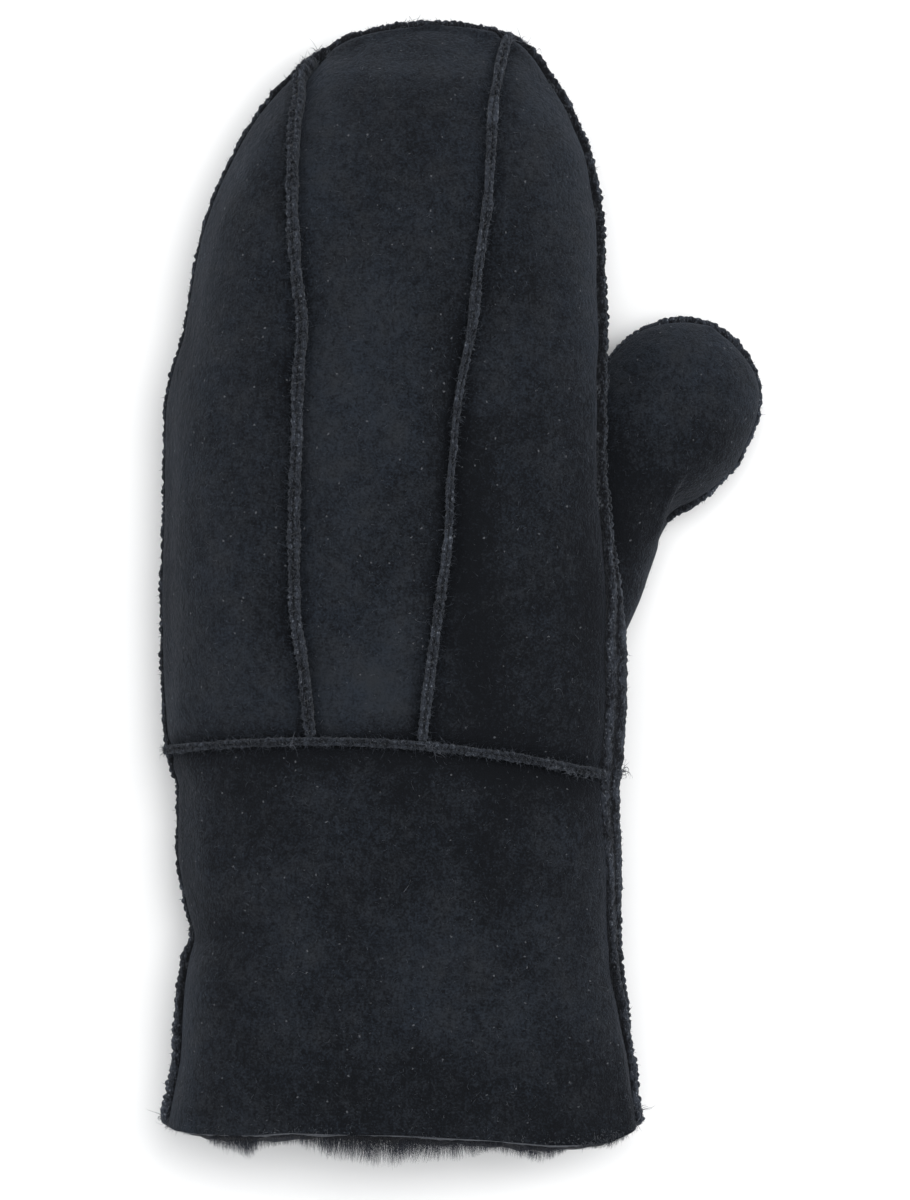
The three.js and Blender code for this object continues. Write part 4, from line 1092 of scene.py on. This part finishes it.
wrist_angles = np.linspace(math.pi, edge_shift(WRIST) + math.radians(9), 500)
path = path_on(body_point, wrist_angles * 0 + WRIST, wrist_angles)
ridges["wrist_back_seam"] = ridge(*path, STAND_ON_BACK, width=0.66, seed=107, pale=-0.08)
wrist_angles = np.linspace(math.pi, 2 * math.pi + edge_shift(WRIST), 500)
path = path_on(body_point, wrist_angles * 0 + WRIST, wrist_angles)
ridges["wrist_palm_seam"] = ridge(*path, STAND_ON_PALM, seed=109)

# Along the edge of the mitten the lips point outwards, level with what it lies on. Between the thumb and the
# wrist their crest tips up and both lips show from above, splayed open.
down, up = np.linspace(1.0, 0.0, 900), np.linspace(0.0, 1.0, 900)[1:]
edge_reach = np.concatenate([down, up])
edge_angle = np.concatenate([down * 0 + math.pi, edge_shift(up)])
tilt, width = (
    np.append(little_edge[name](1 - down**2), thumb_side_edge[name](1 - up**2)) for name in ("tilt", "width")
)
# Near the hem it is paler than along the rest of the edge.
PALE_FROM, PALE_TO, PALE_BY, USUAL_BY = 0.04, 0.14, 0.30, -0.22
edge_pale = PALE_BY + (USUAL_BY - PALE_BY) * eased(1 - edge_reach**2, PALE_FROM, PALE_TO)
edge_path = body_point(edge_reach, edge_angle) + [0, 0, SEAM_GAP / 2]
edge_out = unit(np.cross(UPWARD, np.gradient(edge_path, axis=0)))
ridges["edge_seam"] = ridge(edge_path, edge_out, SEAM_GAP, tilt, width, seed=113, pale=edge_pale)

# The thumb's own edge seam, as far as it shows outside the body. Where the skin folds over it, it lies low.
ROOT_REACH, SUNK = 0.93, 0.0006
down, up = np.linspace(ROOT_REACH, 0.0, 500), np.linspace(0.0, ROOT_REACH, 500)[1:]
thumb_reach = np.concatenate([down, up])
thumb_angle = np.concatenate([down * 0 + math.pi, thumb_edge_angle(up)])
thumb_path = thumb_point(thumb_reach, thumb_angle) + [0, 0, SEAM_GAP / 2]
shown = ~deep_in_body(thumb_path, -SUNK)
thumb_path = thumb_path[shown]
thumb_out = direction_out(thumb_point, np.clip(thumb_reach, 0.03, None), thumb_angle)[shown]
near_fold = (1 - eased(1 - thumb_reach[shown] ** 2, 0.46, 0.60)) * (thumb_angle[shown] < 1)
height = 0.92 - 0.55 * near_fold
ridges["thumb_edge_seam"] = ridge(
    thumb_path, thumb_out, STAND_ON_THUMB, width=0.6, seed=127, height=height, pale=0.25
)

# The seam that joins the thumb to the palm: where the thumb's underside comes out of the body.
THUMB_BASE_SPAN = np.radians([25, 122]) + math.pi
base_angles = np.linspace(*THUMB_BASE_SPAN, 60)
base_reaches = np.linspace(0.05, 1.0, 600)
base_reach = [deep_in_body(thumb_point(base_reaches, angle), 0.0).argmax() for angle in base_angles]
base_path, base_out = path_on(thumb_point, base_reaches[base_reach], base_angles)
base_out = unit(base_out + unit(np.array([1.0, 0, -1.0])))
ridges["thumb_base_seam"] = ridge(base_path, base_out, -RIDGE_HEIGHT / 4, seed=131)

# Fibres to each millimetre of a seam, and the longest of them.
FRAY = {
    "little_finger_back_seam": (17.0, 1.8 * MM),
    "thumb_side_back_seam": (17.0, 1.8 * MM),
    "wrist_back_seam": (19.0, 1.8 * MM),
    "wrist_palm_seam": (1.0, 1.0 * MM),
    "edge_seam": (4.0, 0.9 * MM),
    "thumb_edge_seam": (4.0, 0.7 * MM),
    "thumb_base_seam": (1.0, 1.0 * MM),
}
# Round the edge the thread is pulled in so far that it doesn't show.
PULLED_IN = ("edge_seam", "thumb_edge_seam")
for number, (name, seam) in enumerate(ridges.items()):
    for points, _, _ in seam["parts"]:
        off_floor(points)
    fibres = fray(seam, *FRAY[name], 200 + number)
    piece(name + "_lips", [*seam["parts"], fibres], cut_edge.material, "seam", name)
    if name not in PULLED_IN:
        piece(name + "_thread", overcast(seam, 300 + number), waxed.material, "seam", name)

# The fleece: the skin's own wool, left long in the cuff. It lines the mouth in a thick curly ring, and at the
# hem it is combed straight out past the raw edge in short locks with sun-paled tips.
PILE, PILE_CLEARANCE, PAST_MOUTH = 0.007, 0.00039, 0.01
LINING_LEAST, HAIR_LEAST = 0.0023, 0.0004
# How far the locks reach past the skin's edge, in millimetres, from one end of the hem to the other.
LOCKS = table("""
    across reach
    -1.00 1.2
    -0.86 1.0
    -0.75 4.6
    -0.67 6.0
    -0.61 3.7
    -0.53 3.0
    -0.44 3.3
    -0.34 5.8
    -0.15 7.1
    -0.08 8.0
    0.12 6.5
    0.29 4.6
    0.38 2.7
    0.48 3.8
    0.54 3.9
    0.61 4.5
    0.72 1.3
    0.85 1.6
    0.95 4.2
    1.00 3.8
""")
WOOL_DEEP = (0.0030, 0.0042, 0.0075, 1)
WOOL_PALE = (0.021, 0.029, 0.053, 1)
WOOL_FEEL = {"Specular IOR Level": 0.2, "Sheen Weight": 0.12, "Sheen Roughness": 0.6}
dyed_wool = Finish("dyed_wool")
curls = dyed_wool.noise(0.0022, detail=3, rough=0.6)
fine = dyed_wool.noise(0.0006, rough=0.7)
paler_tip = dyed_wool.shade() ** 2.2 * 0.85 + (curls - 0.5) * 0.5 + (fine - 0.5) * 0.3
wool_colour = dyed_wool.mixed(paler_tip, WOOL_DEEP, WOOL_PALE)
dyed_wool.surface(wool_colour, 0.85, curls * 0.7 + fine * 0.3, 0.0015, WOOL_FEEL)

# The ring of wool inside the mouth, rounded over at the hem, and its back against the skin.
LINING_CURLS, LIP_OUT, LIP_CURLS = [(1.1 * MM, 4 * MM, 0)], 1.6 * MM, [(0.5 * MM, 3 * MM, 2)]
lining_angles = np.linspace(0, 2 * math.pi, 260)[:-1]
lining_reach = np.linspace(WRIST + PAST_MOUTH, 1.0, 60)
backed = LEATHER + PILE_CLEARANCE
lining = body_point(lining_reach[:, None], lining_angles[None, :], backed + PILE)
lining = lining + outward(lining, around=True) * mottled(lining, 71, LINING_CURLS)[..., None]
wool_lip = []
for turn in np.linspace(0, math.pi, 9)[1:]:
    inset = backed + PILE * (0.5 + 0.5 * math.cos(turn))
    loop = body_point(1.0, lining_angles, inset) - [0, LIP_OUT * math.sin(turn), 0]
    wool_lip.append(loop + vectors(0, mottled(loop, 71, LIP_CURLS), 0))
back_face = body_point(np.linspace(1.0, WRIST + PAST_MOUTH, 24)[1:, None], lining_angles[None, :], backed)
lining = off_floor(np.concatenate([lining, np.stack(wool_lip), back_face]), LINING_LEAST)
lining = lining, grid_faces(*lining.shape[:2], around=True), 0.15

# The combed locks, rooted inside the hem. They stick together in clumps, and lean to one side in swathes.
BACK_LOCKS, PALM_LOCKS = 11400, 900
LOCKS_MIDDLE, LOCKS_HALF, ROOTED, LOCK_THICK = MIDDLE + 2.1 * MM, 60.8 * MM, 2.2 * MM, 0.12 * MM
rng = np.random.default_rng(79)
angle = np.concatenate([rng.uniform(0, math.pi, BACK_LOCKS), rng.uniform(math.pi, 2 * math.pi, PALM_LOCKS)])
count = len(angle)
depth = backed + PILE * rng.uniform(0.0, 1.0, count) ** 1.8
roots = body_point(1.0, angle, depth)
lock_reach = np.interp((roots[:, 0] - LOCKS_MIDDLE) / LOCKS_HALF, *LOCKS.values()) * MM
clump = unevenness(vectors(roots[:, 0], depth * 0.5, roots[:, 2] * 0.3), 1.5 * MM, 83)
lean = unevenness(vectors(roots[:, 0], 0, 0), 5 * MM, 89)
roots[:, 1] += ROOTED
lengths = ROOTED + lock_reach * np.clip(rng.uniform(0.45, 1.09, count) + 0.10 * clump, 0.2, 1.2)
sideways = 0.20 * lean + rng.normal(scale=0.09, size=count)
ways = vectors(sideways, -1, rng.normal(scale=0.10, size=count))
bend = vectors(-0.10 * clump, 0, -0.12 + rng.normal(scale=0.12, size=count))
locks = strands(roots, ways, lengths, LOCK_THICK, bend, 0.035, 97, steps=2)
off_floor(locks[0], HAIR_LEAST)

# Single curls that stand out of the ring.
CURLS, CURL_THICK, CURL_LONGEST = 3400, 0.30 * MM, 3.2 * MM
angle = rng.uniform(0, 2 * math.pi, CURLS)
reach = rng.uniform(WRIST + 0.02, 1.0, CURLS)
roots = body_point(reach, angle, backed + PILE)
inward = unit(body_point(reach, angle, backed + PILE + 1 * MM) - roots)
ways = inward * 0.7 + rng.normal(scale=0.5, size=(CURLS, 3)) + [0, -0.5, 0]
lengths = CURL_LONGEST * rng.uniform(0.5, 1, CURLS)
curls = strands(roots, ways, lengths, CURL_THICK, inward * 0.2, 0.22, 103, steps=4)
off_floor(curls[0], HAIR_LEAST)
piece("fleece_lining", [lining, curls], dyed_wool.material, "fleece", "fleece")
piece("fleece_locks", [locks], dyed_wool.material, "fleece", "fleece")

# What clings to the nap: its own short fibres all over the back, a few curled hairs of lint, and knots where
# the sewer's thread starts and ends.
back_parts = centre_back, little_back, thumb_side_back, cuff_back, thumb_back
BACK_SKINS = [parts[0][0] for parts in back_parts]
CLINGING = 0.03 * MM


def nap_fibres(points, each, rng):
    """Roots and directions of fibres that lie on one skin: so many to each square centimetre."""
    faces = grid_faces(*points.shape[:2])
    corners = points.reshape(-1, 3)[faces]
    normal = np.cross(corners[:, 2] - corners[:, 0], corners[:, 3] - corners[:, 1])
    area = np.linalg.norm(normal, axis=1) / 2
    chosen = rng.choice(len(faces), int(each * area.sum() / 1e-4), p=area / area.sum())
    share = rng.uniform(size=(len(chosen), 1))
    out = unit(normal[chosen])
    lying = unit(np.cross(out, rng.normal(size=out.shape)))
    roots = corners[chosen, 0] * (1 - share) + corners[chosen, 2] * share + out * CLINGING
    return roots, lying + out * 0.3 * share


rng = np.random.default_rng(401)
NAP_EACH, NAP_LONGEST, NAP_THICK = 9, 1.7 * MM, 0.085 * MM
found = [nap_fibres(points, NAP_EACH, rng) for points in BACK_SKINS]
roots, ways = (np.concatenate(column) for column in zip(*found))
lengths = NAP_LONGEST * rng.uniform(0.3, 1.0, len(roots)) ** 1.5
bend = rng.normal(scale=0.25, size=roots.shape)
points, faces, _ = strands(roots, ways, lengths, NAP_THICK, bend, 0.25, 409, steps=2)
fluff = points, faces, 0.25 + 0.75 * rng.uniform(size=(len(roots), 1, 1))

# across and along as in the other tables. length and heading: of the hair, in millimetres and degrees.
LINT = table("""
    along across length heading
    0.462 0.10 5.2 -60
    0.398 0.72 5.5 -15
    0.404 0.80 4.0 60
    0.903 0.54 2.6 -30
    0.306 0.10 5.0 85
    0.560 -0.52 3.0 30
    0.470 0.47 3.2 110
    0.215 0.05 3.6 75
    0.140 -0.45 2.8 10
    0.655 0.18 2.6 -70
    0.735 -0.30 2.4 40
    0.100 0.62 3.0 150
""")
back_points = np.concatenate([points.reshape(-1, 3) for points in BACK_SKINS])


def laid_on_back(points):
    """The same points, each lifted or lowered to lie just on the skin."""
    flat = points.reshape(-1, 3)
    nearest = [((back_points[:, :2] - place[:2]) ** 2).sum(1).argmin() for place in flat]
    heights = back_points[nearest, 2] + 0.10 * MM + 0.10 * MM * (flat[:, 2] > flat[:, 2].mean())
    return np.column_stack([flat[:, :2], heights]).reshape(points.shape)


LINT_THICK, KNOT_THICK = 0.16 * MM, 0.24 * MM
across, along = MIDDLE + LINT["across"] * MITTEN_WIDTH / 2, HEM + LINT["along"] * MITTEN_LENGTH
roots, turn = vectors(across, along, 0), np.radians(LINT["heading"])
bend = rng.normal(scale=0.35, size=roots.shape) * [1, 1, 0.05]
ways = vectors(np.cos(turn), np.sin(turn), 0)
points, faces, _ = strands(roots, ways, LINT["length"] * MM, LINT_THICK, bend, 0.20, 419, steps=10)
lint = laid_on_back(points), faces, 0.95

# size: of the tuft, in millimetres. count: of the loops in it.
KNOTS = table("""
    along across size count
    0.976 -0.335 2.2 26
    0.968 -0.365 2.0 18
    1.004 0.05 1.8 16
    1.005 0.09 1.8 16
    0.990 0.535 2.0 22
    0.984 0.565 2.2 22
    0.976 0.600 3.2 6
    0.347 0.165 2.0 26
    0.330 0.205 1.6 16
    0.322 1.02 2.2 26
    0.320 0.70 1.7 20
    0.322 0.79 1.7 20
    0.320 0.87 1.7 18
    0.329 -0.44 1.6 16
    0.014 1.10 2.0 20
    0.008 -1.02 2.0 20
""")
seam_points = [seam["grid"][:, 4:12].reshape(-1, 3) for name, seam in ridges.items() if "palm" not in name]
seam_points = np.concatenate(seam_points)
tufts = []
for number, (along, across, size, count) in enumerate(zip(*KNOTS.values())):
    place = np.array([MIDDLE + across * MITTEN_WIDTH / 2, HEM + along * MITTEN_LENGTH])
    root = seam_points[((seam_points[:, :2] - place) ** 2).sum(1).argmin()]
    count = int(count)
    roots = root + rng.normal(scale=0.35 * MM, size=(count, 3))
    ways = rng.normal(size=(count, 3)) * [1, 1, 0.5] + [0, 0, 0.35]
    bend = rng.normal(scale=0.5, size=ways.shape)
    lengths = 1.35 * size * MM * rng.uniform(0.4, 1.0, count)
    points, faces, _ = strands(roots, ways, lengths, KNOT_THICK, bend, 0.30, 430 + number, steps=6)
    tufts.append((off_floor(points, HAIR_LEAST), faces, 0.2 + 0.9 * rng.uniform(size=(count, 1, 1))))

FIBRE_DEEP, FIBRE_PALE = (0.010, 0.013, 0.018, 1), (0.105, 0.115, 0.135, 1)
loose = Finish("loose_fibre")
uneven = loose.noise(0.002)
loose_colour = loose.mixed(loose.shade() + (uneven - 0.5) * 0.4, FIBRE_DEEP, FIBRE_PALE)
loose.surface(loose_colour, 0.8, uneven, 0.0002, {"Specular IOR Level": 0.2})
panels = "centre_back_panel", "cuff_back_panel", "thumb_back_panel"
piece("nap_and_lint", [fluff, lint], loose.material, "seam", *panels)
seams = "edge_seam", "wrist_back_seam", "thumb_side_back_seam"
piece("thread_knots", tufts, loose.material, "seam", *seams)

# The hem's raw edge: the skin cut through, seen from above as a thin pale line that wavers with the wool
# behind it.
RAW_EDGE_DEEP, RAW_EDGE_PALE = (0.020, 0.022, 0.027, 1), (0.110, 0.115, 0.128, 1)
raw_edge = Finish("raw_edge")
fibres = raw_edge.noise(0.0005, detail=3, rough=0.7)
patches = raw_edge.noise(0.004)
hem_colour = raw_edge.mixed((fibres - 0.5) * 1.6 + patches, RAW_EDGE_DEEP, RAW_EDGE_PALE)
raw_edge.surface(hem_colour, 0.95, fibres, 0.0005, CUT_EDGE_FEEL)
hem_angles = np.linspace(0, 2 * math.pi, 900)
HEM_ROUNDING = 0.38 * MM
WAVER, RAGGEDNESS = ((1.0, 6 * MM, 0), (0.4, 1.5 * MM, 2)), [(0.9, 1.3 * MM, 12)]
loops = []
for share in (0.0, 0.25, 0.6, 1.0):
    loop = body_point(1.0, hem_angles, share * LEATHER * 0.8) + [0, 0, SEAM_GAP]
    ragged = np.cos(hem_angles) ** 6 * mottled(loop, 137, RAGGEDNESS)
    push = HEM_ROUNDING * math.sin(share * math.pi / 2) * (1 + 0.7 * mottled(loop, 137, WAVER) + ragged)
    loops.append(loop - vectors(0, push, 0))
hem = off_floor(np.stack(loops)), grid_faces(len(loops), len(hem_angles)), 0.5
# Torn fibres along it, most of them at its two corners.
HEM_FIBRES, FIBRES_AT_CORNERS = 900, 0.7
FIBRE_LONGEST, FIBRE_THICK = 1.5 * MM, 0.16 * MM
rng = np.random.default_rng(503)
at_corner = rng.uniform(size=HEM_FIBRES) < FIBRES_AT_CORNERS
corner = rng.choice([0.0, math.pi], HEM_FIBRES) + np.abs(rng.normal(scale=0.42, size=HEM_FIBRES))
corner = np.where(corner > math.pi, 2 * math.pi - corner, corner)
angles = np.where(at_corner, corner, rng.uniform(0, math.pi, HEM_FIBRES))
from_hem = 1.3 * MM * np.abs(rng.normal(size=HEM_FIBRES))
roots = body_point(reach_of(from_hem), angles) + [0, 0, SEAM_GAP + 0.05 * MM]
ways = vectors(np.cos(angles) * 0.5, -0.8, 0.4) + rng.normal(scale=0.7, size=roots.shape)
lengths = FIBRE_LONGEST * rng.uniform(0.3, 1.0, HEM_FIBRES) ** 1.5
bend = rng.normal(scale=0.4, size=roots.shape)
torn = strands(roots, ways, lengths, FIBRE_THICK, bend, 0.15, 509, steps=2)
piece("hem_raw_edge", [hem, torn], raw_edge.material, "suede", "cuff_back_panel", "cuff_palm_panel")

# The room: a plain white floor, one large soft light overhead, and pale walls all round.
FLOOR_SIZE, FLOOR_COLOUR = 6, (0.93, 0.93, 0.93, 1)
bpy.ops.mesh.primitive_plane_add(size=FLOOR_SIZE, location=(0, 0, 0))
floor = bpy.context.object
floor.name = "floor"
white = Finish("white_paper")
white.surface(FLOOR_COLOUR, 0.9, white.noise(0.01), 0.00001, {"Specular IOR Level": 0.2})
floor.data.materials.append(white.material)

WALL_COLOUR, WALL_LIGHT = (0.97, 0.985, 1.0, 1), 0.55
world = bpy.data.worlds.new("pale_walls")
bpy.context.scene.world = world
world.use_nodes = True
walls = world.node_tree.nodes["Background"].inputs
walls["Color"].default_value = WALL_COLOUR
walls["Strength"].default_value = WALL_LIGHT
# Each lamp's place and size in metres, and its power in watts. All of them point at the mitten.
LIGHTS = table("""
    x y z size power
    0.25 0.35 1.9 1.3 26
    1.1 0.2 0.9 0.7 7
    -1.2 -0.2 0.8 0.7 6
""")
for number, (x, y, z, size, power) in enumerate(zip(*LIGHTS.values())):
    lamp = bpy.data.lights.new(f"soft_light_{number}", "AREA")
    lamp.size = size
    lamp.energy = power
    stand = bpy.data.objects.new(lamp.name, lamp)
    stand.location = (x, y, z)
    stand.rotation_euler = stand.location.to_track_quat("Z", "Y").to_euler()
    bpy.context.scene.collection.objects.link(stand)

# The camera looks straight down, from far enough for the edges to show no depth.
VIEW_X, VIEW_Y, VIEW_Z = -0.00165, -0.00306, 0.025
VIEW_HEIGHT = 0.312
DISTANCE = 2.4
camera_data = bpy.data.cameras.new("camera")
camera_data.sensor_width = 36
camera_data.lens = camera_data.sensor_width * DISTANCE / VIEW_HEIGHT
camera = bpy.data.objects.new("camera", camera_data)
camera.location = (VIEW_X, VIEW_Y, VIEW_Z + DISTANCE)
bpy.context.scene.collection.objects.link(camera)
bpy.context.scene.camera = camera
bpy.context.scene.view_settings.view_transform = "Standard"
